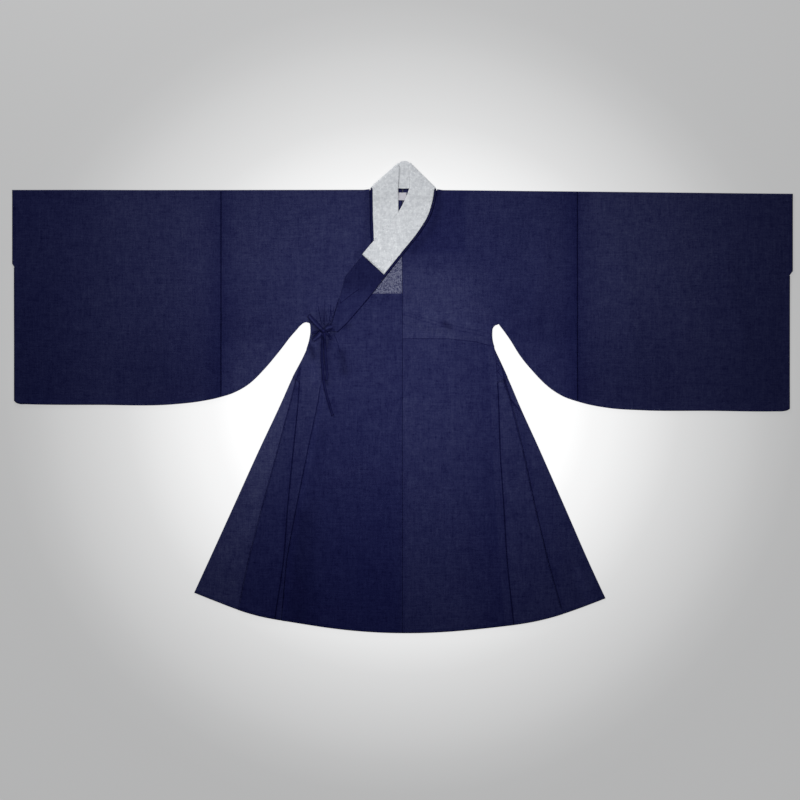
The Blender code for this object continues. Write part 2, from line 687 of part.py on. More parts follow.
def build_collar(laid, material, white, collection):
    """The band and its cover, each one strip folded twice beside the neck. The cover is on the band's outer face,
    and turns over its neck side to the inner face behind the neck."""
    band_folds = [slanted_fold(laid["band_inner"], laid["band_back"][0], (-1.0, 1.0)),
                  slanted_fold(laid["band_outer"], laid["band_back"][-1], (1.0, 1.0))]
    make_object("collar_band", [laid["band_inner"], laid["band_back"], laid["band_outer"], *band_folds],
                material, collection)
    cover_folds = [slanted_fold(laid["cover_inner"], laid["cover_back"][0], (-1.0, 1.0)),
                   slanted_fold(laid["cover_outer"], laid["cover_back"][-1], (1.0, 1.0))]
    neck_fold = fold_strip(laid["cover_inside"][:, 0], laid["cover_back"][:, 0], [(0.0, 1.0)] * COLLAR_COLUMN_COUNT)
    lips = [cover_lip(laid[name][1:], COVER_WALL) for name in ("cover_inner", "cover_outer")]
    sheets = [laid["cover_inner"], laid["cover_back"], laid["cover_outer"], laid["cover_inside"]]
    make_object("collar_cover", [*sheets, *cover_folds, neck_fold, *lips], white, collection, COVER_WALL)


def label_flat():
    (low_x, low_y), (high_x, high_y) = LABEL_CORNERS
    return grid(3, 3, lambda row, column: (low_x + (high_x - low_x) * column / 2, low_y + (high_y - low_y) * row / 2))


def strap_flat(route, width):
    """Flat tie along a route of x and y."""
    route = np.array(route)
    tangent = np.gradient(route, axis=0)
    across = np.stack([-tangent[:, 1], tangent[:, 0]], axis=1)
    across *= width / 2 / np.linalg.norm(across, axis=1)[:, None]
    return np.stack([route - across, route, route + across], axis=1)


def smooth_route(points, count):
    """Catmull-Rom curve through hand-placed points."""
    points = [np.array(point) for point in points]
    points = [2 * points[0] - points[1], *points, 2 * points[-1] - points[-2]]
    route = []
    for share in np.linspace(0, len(points) - 3, count):
        index = min(int(share), len(points) - 4)
        t = share - index
        a, b, c, d = points[index:index + 4]
        route.append(0.5 * (2 * b + (c - a) * t + (2 * a - 5 * b + 4 * c - d) * t ** 2
                            + (3 * b - a - 3 * c + d) * t ** 3))
    return route


def loop_sheet(stack, root, tip):
    """Bow loop: a tie laid out to its tip, folded back over itself."""
    root = np.array(root)
    tip = np.array(tip)
    way = (tip - root) / np.linalg.norm(tip - root)
    route = [root + (tip - root) * share for share in np.linspace(0, 1, LOOP_POINTS)]
    lower = lay(stack, strap_flat(route, TIE_WIDTH))
    upper = lower.copy()
    upper[..., 2] = lower[..., 2] + 2 * LOOP_RADIUS
    turn = fold_strip(upper[-1], lower[-1], [way] * upper.shape[1])
    return [lower, turn, upper]


def build_knot(stack, material, collection):
    """Small rounded knot of the bow."""
    size_x, size_y, size_z = KNOT_SIZE
    bottom = stack.highest(*KNOT_AT, size_x / 4, size_y / 4) + CLEARANCE
    form = bmesh.new()
    bmesh.ops.create_uvsphere(form, u_segments=12, v_segments=8, radius=0.5)
    bmesh.ops.scale(form, vec=Vector((size_x, size_y, size_z)), verts=form.verts)
    mesh = bpy.data.meshes.new("tie_knot")
    form.to_mesh(mesh)
    form.free()
    mesh.shade_smooth()
    mesh.materials.append(material)
    knot = bpy.data.objects.new("tie_knot", mesh)
    knot.location = (*KNOT_AT, bottom + size_z / 2)
    collection.objects.link(knot)


def build_outer_ties(stack, material, collection):
    """The bow: the knot on the cloth, the ties and tails that leave it, then the loops over them."""
    build_knot(stack, material, collection)
    for name, (route, count) in TIE_ROUTES.items():
        sheet = lay(stack, strap_flat(smooth_route(route, count), TIE_WIDTH))
        stack.add(sheet)
        make_object(name, [sheet], material, collection)
    for name, (root, tip) in LOOPS.items():
        sheets = loop_sheet(stack, root, tip)
        stack.add(sheets[-1])
        make_object(name, sheets, material, collection)


def lay_back(stack, cloth, collection):
    """Everything that rests on the surface: back leaves, back gores and sleeves."""
    backs = {}
    for side in SIGN:
        build_sleeve(stack, side, cloth, collection)
        flats = (back_body_flat(side), sleeve_root_flat(side))
        backs[side] = [at_height(flat, WALL / 2) for flat in flats]
        gore = back_gore(side)
        make_object(f"gore_back_{side}", [gore], cloth, collection)
        for sheet in (*backs[side], gore):
            stack.add(sheet)
    return backs


def lay_collar_back(stack):
    """The collar behind the neck: cover, band, then the cover again on its inner face."""
    margins = (COVER_FOLD_MARGIN, COVER_MARGIN)
    cover_flat = back_band_flat(margins, COVER_NECK_OUT)
    laid = {"cover_back": lay(Stack(), cover_flat, wall=COVER_WALL)}
    stack.add(laid["cover_back"], COVER_WALL)
    band = lay(stack, back_band_flat())
    band[..., 2] = band[..., 2].max()
    laid["band_back"] = band
    stack.add(band)
    inside = at_height(cover_flat, band[0, 0, 2] + WALL / 2 + CLEARANCE + COVER_WALL / 2)
    laid["cover_inside"] = inside
    stack.add(inside, COVER_WALL)
    return laid


def build_front(stack, side, backs, pleat, sheets, cloth, collection):
    """Front leaf of one body panel with its gore, and the other sheets that are laid at the same height."""
    front = lay_body_front(stack, side)
    upper = lay(stack, pleat_leaves(side)[2])
    laid = {name: lay(stack, flat) for name, flat in sheets.items()}
    make_object(f"body_{side}", [*front, *backs, *body_folds(side, *front, *backs)], cloth, collection)
    build_gore(side, *pleat, upper, cloth, collection)
    for sheet in (*front, upper, *laid.values()):
        stack.add(sheet)
    return laid


def main():
    clear_scene()
    robe = make_collection(NAME)
    cloth = make_material("blue_ramie", CLOTH_BLUE)
    collar = make_material("collar_blue", COLLAR_BLUE)
    white = make_material("collar_white", COVER_WHITE)
    label = make_material("label_white", LABEL_WHITE)
    tie = make_material("tie_blue", TIE_BLUE)
    stack = Stack()
    margins = (COVER_FOLD_MARGIN, COVER_MARGIN)

    backs = lay_back(stack, cloth, robe)
    laid = lay_collar_back(stack)
    pleats = {side: lay_pleat(stack, side) for side in SIGN}
    label_sheet = lay(stack, label_flat())
    make_object("neck_label", [label_sheet], label, robe)
    stack.add(label_sheet)

    inner_ties = {name: strap_flat(smooth_route(route, INNER_TIE_POINTS), INNER_TIE_WIDTH)
                  for name, route in INNER_TIE_ROUTES.items()}
    inner = build_front(stack, "right", backs["right"], pleats["right"],
                        {"overlap_inner": inner_overlap_flat(), "band_inner": band_flat(COLLAR_INNER), **inner_ties},
                        cloth, robe)
    laid["band_inner"] = inner["band_inner"]
    make_object("overlap_inner", [inner["overlap_inner"]], cloth, robe)
    for name in inner_ties:
        make_object(name, [inner[name]], tie, robe)
    laid["cover_inner"] = lay(stack, band_flat(COLLAR_INNER[:COVER_INNER_ROWS], margins, COVER_NECK_OUT),
                              wall=COVER_WALL)
    stack.add(laid["cover_inner"], COVER_WALL)

    outer = build_front(stack, "left", backs["left"], pleats["left"],
                        {"overlap_outer": outer_overlap_flat(), "band_outer": band_flat(COLLAR_OUTER)}, cloth, robe)
    laid["band_outer"] = outer["band_outer"]
    make_object("overlap_outer", [outer["overlap_outer"]], cloth, robe)
    laid["cover_outer"] = lay(stack, band_flat(COLLAR_OUTER[:COVER_OUTER_ROWS], margins, COVER_NECK_OUT),
                              wall=COVER_WALL)
    stack.add(laid["cover_outer"], COVER_WALL)
    build_collar(laid, collar, white, robe)
    build_outer_ties(stack, tie, robe)


main()
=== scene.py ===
"""Looks of the wide-sleeved robe: thin creased cloth over the solids, materials, floor, lights and camera.

Metres, +Z up, in the solids' own frame. "Out" is the distance from the centre seam towards either sleeve,
and "side" is the wearer's own side: right is towards -X. The cloth is laid piece over piece on a height map.
"""

import math

import bmesh
import bpy
import numpy as np
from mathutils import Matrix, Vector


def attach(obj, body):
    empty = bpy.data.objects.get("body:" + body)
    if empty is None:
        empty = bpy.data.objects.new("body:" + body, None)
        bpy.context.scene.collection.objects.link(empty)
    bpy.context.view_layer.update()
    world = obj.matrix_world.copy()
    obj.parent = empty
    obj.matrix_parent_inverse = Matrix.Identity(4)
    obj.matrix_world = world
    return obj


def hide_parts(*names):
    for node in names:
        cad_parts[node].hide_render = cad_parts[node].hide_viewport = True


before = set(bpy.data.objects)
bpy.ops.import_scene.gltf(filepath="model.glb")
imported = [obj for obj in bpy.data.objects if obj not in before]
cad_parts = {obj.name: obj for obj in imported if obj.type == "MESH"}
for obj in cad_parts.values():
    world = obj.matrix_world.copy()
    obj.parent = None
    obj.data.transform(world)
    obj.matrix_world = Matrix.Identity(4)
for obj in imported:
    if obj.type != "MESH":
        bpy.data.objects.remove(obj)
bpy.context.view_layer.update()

# Cloth
WALL = 0.0008
COVER_WALL = 0.001
BAND_WALL = 0.0016
CLEARANCE = 0.0003
SEAM_GAP = 0.0002
FOLD_PUFF = 0.0011
FOLD_PUFF_WIDTH = 0.012
FOLD_STEPS = 6
WELD_DISTANCE = 0.00002
SIGN = {"right": -1.0, "left": 1.0}

# Main sizes, as distances from the origin
CUFF_OUT = 1.149
CUFF_CLOSED_STEP = {"right": 0.007, "left": 0.01}
SHOULDER_Y = 0.6096
SHOULDER_DROP = {"right": 0.0, "left": 0.0115}
NECK_CORNER_OUT = {"right": 0.0966, "left": 0.1019}
HEM_Y = -0.6935
HEM_RADIUS = 1.696
HEM_TILT = 0.0075
# Sag of the hem at each gore: sign of x, depth, distance out, width
HEM_SAG = ((-1.0, 0.0066, 0.44, 0.1), (1.0, 0.0084, 0.42, 0.14))
# The hem's arc is worked out up to this square of x
HEM_LARGEST_SQUARE = 1.5
BACK_NECK_Y = 0.6165
SLEEVE_SEAM_OUT = {"right": 0.5345, "left": 0.5154}
ARMPIT = {"right": (0.2842, 0.2238), "left": (0.2842, 0.218)}
CUFF_OPENING_Y = {"right": 0.389, "left": 0.37}
GORE_TOP_Y = 0.044
FRONT_STEP_Y = 0.0441
STEP_TOP_Y = 0.06
STEP_ROWS = 7
BACK_SEAM_SHIFT = 0.001
COLLAR_END_Y = 0.181
COLLAR_END_ROWS = (0.1822, 0.18)
COLLAR_TIP_Y = 0.1924
OVERLAP_OUTER_TOP_Y = 0.4165

# Lower edge of each sleeve, as out and y
UNDERSIDE = {
    "right": (
        (0.2842, 0.2238), (0.293, 0.2206), (0.302, 0.2135), (0.3107, 0.2032), (0.317, 0.196),
        (0.324, 0.1885), (0.3608, 0.1414), (0.4049, 0.0883), (0.4491, 0.0442), (0.4933, 0.0177),
        (0.5374, 0.0029), (0.6, -0.01), (0.67, -0.0177), (0.9, -0.0198), (1.11, -0.0177),
        (1.1265, -0.0172), (1.138, -0.0125), (1.144, -0.006), (1.15, 0.004),
    ),
    "left": (
        (0.2842, 0.218), (0.3166, 0.1737), (0.346, 0.1266), (0.3843, 0.0795), (0.4314, 0.0324),
        (0.4668, 0.0088), (0.5227, -0.0118), (0.6111, -0.0294), (0.6994, -0.0353), (0.9, -0.0375),
        (1.1, -0.039), (1.12, -0.0385), (1.137, -0.0335), (1.144, -0.027), (1.15, -0.015),
    ),
}

SKIRT_YS = (0.044, -0.0088, -0.1561, -0.3269, -0.48, -0.62)


def down_skirt(*outs):
    """A line's distances out at the heights that the skirt's lines share."""
    return tuple(zip(SKIRT_YS, outs))


# Lines that run down the skirt: y and distance out from the centre seam
LINES = {
    "right": {
        "outline": ((0.2238, 0.2842), (0.2222, 0.276), (0.22, 0.2722), (0.215, 0.2704), (0.205, 0.2695),
                    (0.193, 0.2695), (0.1737, 0.2724),
                    *down_skirt(0.3308, 0.354, 0.423, 0.5003, 0.57, 0.6343)),
        "pleat_fold": down_skirt(0.314, 0.3269, 0.3663, 0.4126, 0.452, 0.481),
        "front_seam": down_skirt(0.3035, 0.3069, 0.3216, 0.3384, 0.3504, 0.371),
        "back_seam": down_skirt(0.312, 0.318, 0.342, 0.37, 0.395, 0.418),
        "overlap_edge": ((0.1924, 0.2125), (0.1737, 0.2165),
                         *down_skirt(0.2405, 0.2468, 0.2783, 0.3122, 0.3401, 0.3525)),
    },
    "left": {
        "outline": ((0.218, 0.2842), (0.215, 0.2745), (0.2091, 0.2668), (0.2032, 0.263), (0.192, 0.2616),
                    (0.1737, 0.262), (0.156, 0.266), (0.1384, 0.273), (0.1031, 0.2896), (0.0501, 0.3135),
                    (0.0206, 0.3262), (-0.0088, 0.3385), (-0.1561, 0.4048), (-0.3269, 0.4798),
                    (-0.48, 0.5466), (-0.62, 0.6112)),
        "pleat_fold": down_skirt(0.2975, 0.3166, 0.3534, 0.3902, 0.427, 0.466),
        "front_seam": down_skirt(0.28, 0.2827, 0.2877, 0.2989, 0.3083, 0.3225),
        "back_seam": down_skirt(0.295, 0.301, 0.325, 0.353, 0.378, 0.401),
        "overlap_edge": ((0.1737, 0.252), *down_skirt(0.257, 0.26, 0.266, 0.276, 0.286, 0.297)),
    },
}
INNER_PLEAT_SET_IN = 0.003
INNER_OVERLAP_TOP = ((0.0, 0.1737), (0.131, 0.1737), (0.2135, 0.1649), (0.257, 0.156))

# The collar in rows from the slanted fold beside the neck: neck_x, neck_y, sewn_x, sewn_y
COLLAR_OUTER = (
    (0.0203, 0.6879, 0.098, 0.6112), (0.0242, 0.6184, 0.1016, 0.6096), (0.0128, 0.5878, 0.0951, 0.5713),
    (-0.0092, 0.5452, 0.0795, 0.5271), (-0.0455, 0.5018, 0.0545, 0.4874), (-0.085, 0.4565, 0.0118, 0.4329),
    (-0.1163, 0.4193, -0.0486, 0.3563), (-0.1604, 0.3663, -0.0886, 0.3062),
    (-0.1682, 0.356, -0.0957, 0.2974), (-0.1712, 0.3459, -0.1023, 0.2897),
    (-0.187, 0.2836, -0.1399, 0.2459), (-0.2038, 0.2341, -0.1693, 0.2135),
    (-0.212, 0.1973, -0.1914, 0.1929),
)
COLLAR_INNER = (
    (-0.0109, 0.687, -0.0928, 0.6137), (-0.016, 0.6184, -0.0963, 0.6096),
    (-0.0148, 0.5478, -0.0957, 0.5478), (-0.01, 0.4624, -0.0928, 0.4624),
    (-0.0015, 0.3063, -0.0854, 0.3063), (-0.0015, 0.1826, -0.07, 0.1826),
)
COLLAR_CROWN = 0.0068
COLLAR_SPREAD = 8
COLLAR_ACROSS = 15
COVER_OUTER_ROWS = 7
COVER_INNER_ROWS = 5
COVER_MARGIN = 0.0085
COVER_FOLD_MARGIN = 0.004
COVER_NECK_OUT = 0.0006
COVER_LIP_OUT = 0.003

# Height map
CELL = 0.002
MAP_HALF_X = 1.2
MAP_HALF_Y = 0.75
MAP_REACH = 4
MAP_BLUR = 3
GROUND_STEPS = 5

# Creases of the cloth: height, width, then the points of its line
CREASES = (
    # Drawn in towards the bow
    (0.003, 0.0075, ((-0.253, 0.272), (-0.24, 0.235), (-0.235, 0.209))),
    (0.0028, 0.0065, ((-0.219, 0.275), (-0.217, 0.24), (-0.224, 0.212))),
    (0.0028, 0.0075, ((-0.199, 0.288), (-0.206, 0.25), (-0.218, 0.211))),
    (0.0016, 0.01, ((-0.285, 0.295), (-0.27, 0.256), (-0.252, 0.22))),
    (0.0015, 0.008, ((-0.19, 0.115), (-0.198, 0.145), (-0.212, 0.18))),
    (0.0016, 0.011, ((-0.17, 0.075), (-0.183, 0.112), (-0.203, 0.165))),
    # Lapel of the outer overlap, a soft rise beside its edge
    (0.0022, 0.007, ((-0.223, 0.03), (-0.235, -0.09), (-0.264, -0.26), (-0.296, -0.43), (-0.32, -0.6))),
    # Sleeves
    (0.0013, 0.03, ((-0.61, 0.55), (-0.64, 0.41), (-0.69, 0.24), (-0.73, 0.09))),
    (0.0011, 0.038, ((-0.83, 0.57), (-0.85, 0.39), (-0.835, 0.23), (-0.87, 0.05))),
    (0.001, 0.026, ((-0.98, 0.52), (-1.01, 0.35), (-0.99, 0.19))),
    (0.0012, 0.024, ((-0.43, 0.54), (-0.41, 0.39), (-0.425, 0.26))),
    (0.0012, 0.031, ((0.6, 0.53), (0.65, 0.37), (0.67, 0.21), (0.72, 0.05))),
    (0.001, 0.036, ((0.81, 0.55), (0.8, 0.4), (0.84, 0.22), (0.83, 0.07))),
    (0.0011, 0.025, ((0.97, 0.5), (0.96, 0.36), (1.0, 0.18), (0.99, 0.06))),
    (0.0012, 0.023, ((0.41, 0.53), (0.42, 0.41), (0.39, 0.27), (0.41, 0.17))),
    # Body and skirt
    (0.0011, 0.026, ((0.15, 0.54), (0.18, 0.42), (0.21, 0.3), (0.245, 0.235))),
    (0.001, 0.022, ((-0.21, 0.54), (-0.225, 0.44), (-0.25, 0.35))),
    (0.001, 0.03, ((0.11, 0.23), (0.13, 0.07), (0.125, -0.15), (0.15, -0.38), (0.145, -0.6))),
    (0.0009, 0.027, ((-0.09, 0.22), (-0.1, 0.04), (-0.13, -0.18), (-0.125, -0.42), (-0.15, -0.63))),
    (0.0009, 0.024, ((0.045, 0.09), (0.05, -0.15), (0.04, -0.39), (0.06, -0.64))),
    (0.001, 0.025, ((-0.19, 0.05), (-0.2, -0.18), (-0.23, -0.41), (-0.235, -0.59))),
    (0.001, 0.025, ((0.23, -0.06), (0.235, -0.26), (0.25, -0.47), (0.245, -0.62))),
    (0.0011, 0.02, ((0.42, -0.3), (0.46, -0.44), (0.49, -0.57))),
    (0.0011, 0.02, ((-0.45, -0.33), (-0.49, -0.47), (-0.52, -0.58))),
)
# Soft swells: height, waves along x and y, phase. All bend by the same slower wave
SWELLS = (
    (0.0003, 5.3, 3.1, 0.4), (0.00022, -8.7, 6.9, 1.9), (0.00016, 14.3, -11.2, 3.3),
    (0.0001, 21.0, 27.0, 5.1),
)
SWELL_BASE = 0.0006
SWELL_BEND, BEND_X, BEND_Y = 0.7, 2.3, 3.1
CREASE_REACH = 3
CREASE_START, CREASE_END = 0.22, 0.3
CREASE_UNEVEN, CREASE_WAVES, CREASE_PHASE = 0.25, 17, 40
SHADE_LINE_OVERRUN = 0.003
SHADE_LINE_REACH = 0.012
NO_SHADE_LINE = 1e3

# Painted shade: thin dark lines where cloth is folded or drawn together, and one along the edge of cloth
# below that shows through: half width, then the points of the line
SHADE_LINES = (
    # Pleat on the wearer's right, from where it opens out of the body
    (0.0026, ((-0.301, 0.0942), (-0.3075, 0.07), (-0.3152, 0.044), (-0.3281, -0.0088), (-0.3675, -0.1561),
              (-0.4138, -0.3269), (-0.4532, -0.48), (-0.4822, -0.62))),
    (0.0018, ((-0.299, 0.09), (-0.304, 0.044))),
    # Lapel of the outer overlap
    (0.0018, ((-0.2424, 0.033), (-0.248, -0.0088), (-0.2795, -0.1561), (-0.3134, -0.3269),
              (-0.3413, -0.48), (-0.3537, -0.62))),
    # Pleat on the wearer's left and the top edge of its gore
    (0.001, ((0.2724, 0.1384), (0.2765, 0.09), (0.2802, 0.044))),
    (0.003, ((0.296, 0.09), (0.2985, 0.044), (0.3176, -0.0088), (0.3544, -0.1561), (0.3912, -0.3269),
             (0.428, -0.48), (0.467, -0.62))),
    (0.002, ((0.2871, 0.109), (0.302, 0.05), (0.318, -0.004), (0.3549, -0.0501))),
    # Drawn in towards the bow
    (0.0014, ((-0.2488, 0.2709), (-0.243, 0.24), (-0.2371, 0.212))),
    (0.0012, ((-0.2282, 0.2857), (-0.229, 0.25), (-0.23, 0.215))),
    (0.0014, ((-0.2106, 0.2709), (-0.213, 0.24), (-0.22, 0.21))),
    (0.0014, ((-0.188, 0.291), (-0.199, 0.25), (-0.212, 0.208))),
    (0.0012, ((-0.203, 0.19), (-0.19, 0.16), (-0.185, 0.133))),
    # Crease across the collar, and the top edge of the inner overlap seen through the front
    (0.0012, ((-0.1296, 0.318), (-0.156, 0.299), (-0.1841, 0.2768))),
    (0.001, ((0.002, 0.1737), (0.131, 0.1737), (0.2135, 0.1649), (0.257, 0.153))),
)
# Softer painted shadows in the cloth, and painted light on ridges where the strength is below 0: strength,
# width, then the points of the line
SHADOWS = (
    (0.6, 0.008, ((-0.269, 0.148), (-0.262, 0.12))),
    (0.45, 0.007, ((-0.196, 0.215), (-0.155, 0.211))),
    (-0.3, 0.009, ((-0.253, 0.157), (-0.245, 0.143))),
    (-0.22, 0.014, ((-0.264, 0.09), (-0.256, 0.055))),
    (0.45, 0.007, ((-0.23, 0.053), (-0.223, 0.038))),
    (0.42, 0.012, ((-0.178, 0.1325), (-0.174, 0.105), (-0.17, 0.076))),
    (0.5, 0.0085, ((0.123, 0.219), (0.139, 0.206))),
    (0.35, 0.016, ((-0.235, 0.245), (-0.23, 0.205), (-0.233, 0.165))),
    (0.22, 0.02, ((-0.226, 0.15), (-0.225, 0.07))),
    (0.3, 0.045, ((-0.295, -0.36), (-0.3, -0.5), (-0.305, -0.66))),
    (-0.25, 0.0075, ((-0.233, 0.044), (-0.239, -0.0088), (-0.27, -0.1561), (-0.3035, -0.3269),
                     (-0.331, -0.48), (-0.343, -0.62))),
    (0.3, 0.012, ((0.103, 0.6), (0.108, 0.565), (0.098, 0.525), (0.075, 0.485), (0.03, 0.43))),
    (0.22, 0.01, ((-0.101, 0.6), (-0.103, 0.53), (-0.105, 0.46), (-0.135, 0.415))),
    (-0.22, 0.013, ((0.512, -0.51), (0.535, -0.56), (0.555, -0.61))),
)

# Colours, linear
WHITE = (1.0, 1.0, 1.0)
CLOTH_DARK = (0.0002, 0.0012, 0.04)
CLOTH_LIGHT = (0.031, 0.0345, 0.097)
VEIL_COLOUR = (0.15, 0.156, 0.23)
WHITE_COLOUR = (0.79, 0.805, 0.82)
WHITE_SHADE = (0.47, 0.485, 0.51)
WHITE_SEAM = (0.3, 0.32, 0.37)
LABEL_COLOUR = (0.6, 0.585, 0.63)
LABEL_SHADE = (0.5, 0.49, 0.53)
CLOTH_SHEEN = (0.35, 0.4, 0.75)

# Rows and columns of the sheets
ABOVE_ROWS = 56
SIDE_ROWS = 28
ARMPIT_CROWDING = 1.6
SKIRT_COUNT = 92
BODY_COUNT = 44
ROOT_COUNT = 32
BACK_NECK_COUNT = 12
SLEEVE_COUNT = 84
SLEEVE_DOWN = 82
CUFF_COLUMNS = (0.965, 0.975, 0.985, 0.993)
SKIRT_FIRST_OUT = 0.3
SKIRT_ROUNDS = 8
BACK_BAND_ROWS = 24
COVER_LIP_STEPS = 5
PLEAT_COLUMNS = (26, 14, 16)
BACK_GORE_COLUMNS = 24
LABEL_ROWS = 14
OVERLAP_HEAD_ROWS = 16
BESIDE_COLLAR_ROWS = 34
BELOW_COLLAR_ROWS = 24
TIP_ROW_GAP = 0.0002
TUBE_STEPS = 17
INNER_TIE_STEPS = 24
KNOT_STEPS = 22


def curve(points, at):
    """Smooth curve through a table of key and value, read at an array of keys, straight beyond its ends."""
    table = np.array(sorted(points))
    keys, values = table[:, 0], table[:, 1]
    at = np.asarray(at, float)
    slopes = np.gradient(values, keys)
    index = np.clip(np.searchsorted(keys, at) - 1, 0, len(keys) - 2)
    span = keys[index + 1] - keys[index]
    t = np.clip((at - keys[index]) / span, 0, 1)
    start, end = values[index], values[index + 1]
    inside = (start * (2 * t ** 3 - 3 * t ** 2 + 1) + slopes[index] * span * (t ** 3 - 2 * t ** 2 + t)
              + end * (3 * t ** 2 - 2 * t ** 3) + slopes[index + 1] * span * (t ** 3 - t ** 2))
    return inside + slopes[0] * np.minimum(at - keys[0], 0) + slopes[-1] * np.maximum(at - keys[-1], 0)


def line_out(side, name, y):
    return curve(LINES[side][name], y)


def shoulder_y(side, out):
    slope = np.maximum(out - NECK_CORNER_OUT[side], 0) / (CUFF_OUT - NECK_CORNER_OUT[side])
    return SHOULDER_Y - SHOULDER_DROP[side] * slope


def hem_y(x):
    """Hem of the skirt: an arc that tilts a little and sags at the gores."""
    sag = sum(depth * np.exp(-((sign * x - out) / width) ** 2) for sign, depth, out, width in HEM_SAG)
    arc = np.sqrt(HEM_RADIUS ** 2 - np.minimum(x ** 2, HEM_LARGEST_SQUARE))
    return HEM_Y + HEM_RADIUS - arc - HEM_TILT * x - sag


def smoothstep(low, high, value):
    t = np.clip((value - low) / (high - low), 0, 1)
    return t * t * (3 - 2 * t)


def to_polyline(x, y, points):
    """Distance to a polyline, and how far along it the nearest place is, from 0 to 1."""
    points = np.array(points, float)
    lengths = np.linalg.norm(np.diff(points, axis=0), axis=1)
    total = lengths.sum()
    best = np.full(x.shape, np.inf)
    place = np.zeros(x.shape)
    walked = 0.0
    for start, end, length in zip(points[:-1], points[1:], lengths):
        way = (end - start) / length
        along = np.clip((x - start[0]) * way[0] + (y - start[1]) * way[1], 0, length)
        apart = np.hypot(x - start[0] - along * way[0], y - start[1] - along * way[1])
        nearer = apart < best
        best = np.where(nearer, apart, best)
        place = np.where(nearer, (walked + along) / total, place)
        walked += length
    return best, place


def signed_shade_lines(sheet):
    """Distance to the nearest painted shade line in half widths of it, with the sign of the side of the line
    it is on.
    """
    x, y = sheet[..., 0], sheet[..., 1]
    nearest = np.full(x.shape, NO_SHADE_LINE)
    for half_width, points in SHADE_LINES:
        points = np.array(points)
        for start, end in zip(points[:-1], points[1:]):
            way = end - start
            length = np.linalg.norm(way)
            along = ((x - start[0]) * way[0] + (y - start[1]) * way[1]) / length
            apart = ((x - start[0]) * way[1] - (y - start[1]) * way[0]) / length
            off_end = np.maximum(np.maximum(-along, along - length), 0)
            far = (off_end > SHADE_LINE_OVERRUN) | (np.abs(apart) > SHADE_LINE_REACH)
            value = np.where(far, np.sign(apart + 1e-12) * NO_SHADE_LINE, apart / half_width)
            nearest = np.where(np.abs(value) < np.abs(nearest), value, nearest)
    return nearest


def shadow_tone(sheet):
    """Share of light left by the softer painted shadows, more than 1 where painted light lies."""
    x, y = sheet[..., 0], sheet[..., 1]
    tone = np.ones(x.shape)
    for strength, width, points in SHADOWS:
        apart, _ = to_polyline(x, y, points)
        tone *= 1 - strength * np.exp(-(apart / width) ** 2)
    return tone


def smooth_route(points, count):
    """Catmull-Rom curve through given points."""
    points = [np.array(point, float) for point in points]
    points = [2 * points[0] - points[1], *points, 2 * points[-1] - points[-2]]
    route = []
    for share in np.linspace(0, len(points) - 3, count):
        index = min(int(share), len(points) - 4)
        t = share - index
        a, b, c, d = points[index:index + 4]
        route.append(0.5 * (2 * b + (c - a) * t + (2 * a - 5 * b + 4 * c - d) * t ** 2
                            + (3 * b - a - 3 * c + d) * t ** 3))
    return np.array(route)


def crease_field():
    """Creases and soft swells of the laid cloth, as a height above its flat lie on the map's grid."""
    xs = -MAP_HALF_X + CELL * (np.arange(round(2 * MAP_HALF_X / CELL)) + 0.5)
    ys = -MAP_HALF_Y + CELL * (np.arange(round(2 * MAP_HALF_Y / CELL)) + 0.5)
    x, y = np.meshgrid(xs, ys)
    field = np.full(x.shape, SWELL_BASE)
    bend = SWELL_BEND * np.sin(BEND_Y * y - BEND_X * x)
    for height, wave_x, wave_y, phase in SWELLS:
        field += height * np.sin(wave_x * x + wave_y * y + phase + bend)
    for height, width, points in CREASES:
        route = smooth_route(points, 4 * len(points))
        low = route.min(axis=0) - CREASE_REACH * width
        high = route.max(axis=0) + CREASE_REACH * width
        rows = slice(*np.searchsorted(ys, (low[1], high[1])))
        columns = slice(*np.searchsorted(xs, (low[0], high[0])))
        apart, place = to_polyline(x[rows, columns], y[rows, columns], route)
        ends = smoothstep(0, CREASE_START, place) * smoothstep(0, CREASE_END, 1 - place)
        uneven = 1 + CREASE_UNEVEN * np.sin(CREASE_WAVES * place + CREASE_PHASE * height / width)
        field[rows, columns] += height * ends * uneven * np.exp(-(apart / width) ** 2)
    return np.maximum(field, 0)


def read_map(field, x, y):
    """Bilinear reading of a map at arrays of places."""
    last_row, last_column = np.array(field.shape) - 1.001
    across = np.clip((x + MAP_HALF_X) / CELL - 0.5, 0, last_column)
    along = np.clip((y + MAP_HALF_Y) / CELL - 0.5, 0, last_row)
    i, j = across.astype(int), along.astype(int)
    u, v = across - i, along - j
    return ((field[j, i] * (1 - u) + field[j, i + 1] * u) * (1 - v)
            + (field[j + 1, i] * (1 - u) + field[j + 1, i + 1] * u) * v)


class Ground:
    """Height of the topmost cloth at each place of the surface."""

    def __init__(self):
        self.top = np.zeros((round(2 * MAP_HALF_Y / CELL), round(2 * MAP_HALF_X / CELL)))

    def add(self, sheet, wall=WALL):
        for a in np.linspace(0, 1, GROUND_STEPS):
            for b in np.linspace(0, 1, GROUND_STEPS):
                points = ((sheet[:-1, :-1] * (1 - b) + sheet[:-1, 1:] * b) * (1 - a)
                          + (sheet[1:, :-1] * (1 - b) + sheet[1:, 1:] * b) * a)
                across = ((points[..., 0] + MAP_HALF_X) / CELL).astype(int)
                along = ((points[..., 1] + MAP_HALF_Y) / CELL).astype(int)
                np.maximum.at(self.top, (along, across), points[..., 2] + wall / 2)

    def soft(self, reach=MAP_REACH, blur=MAP_BLUR):
        """The map widened past every edge, then smoothed by less than it was widened."""
        field = self.top
        for axis in (0, 1):
            shifts = range(-reach - blur, reach + blur + 1)
            field = np.max([np.roll(field, shift, axis) for shift in shifts], axis=0)
        for axis in (0, 1):
            field = np.mean([np.roll(field, shift, axis) for shift in range(-blur, blur + 1)], axis=0)
        return field


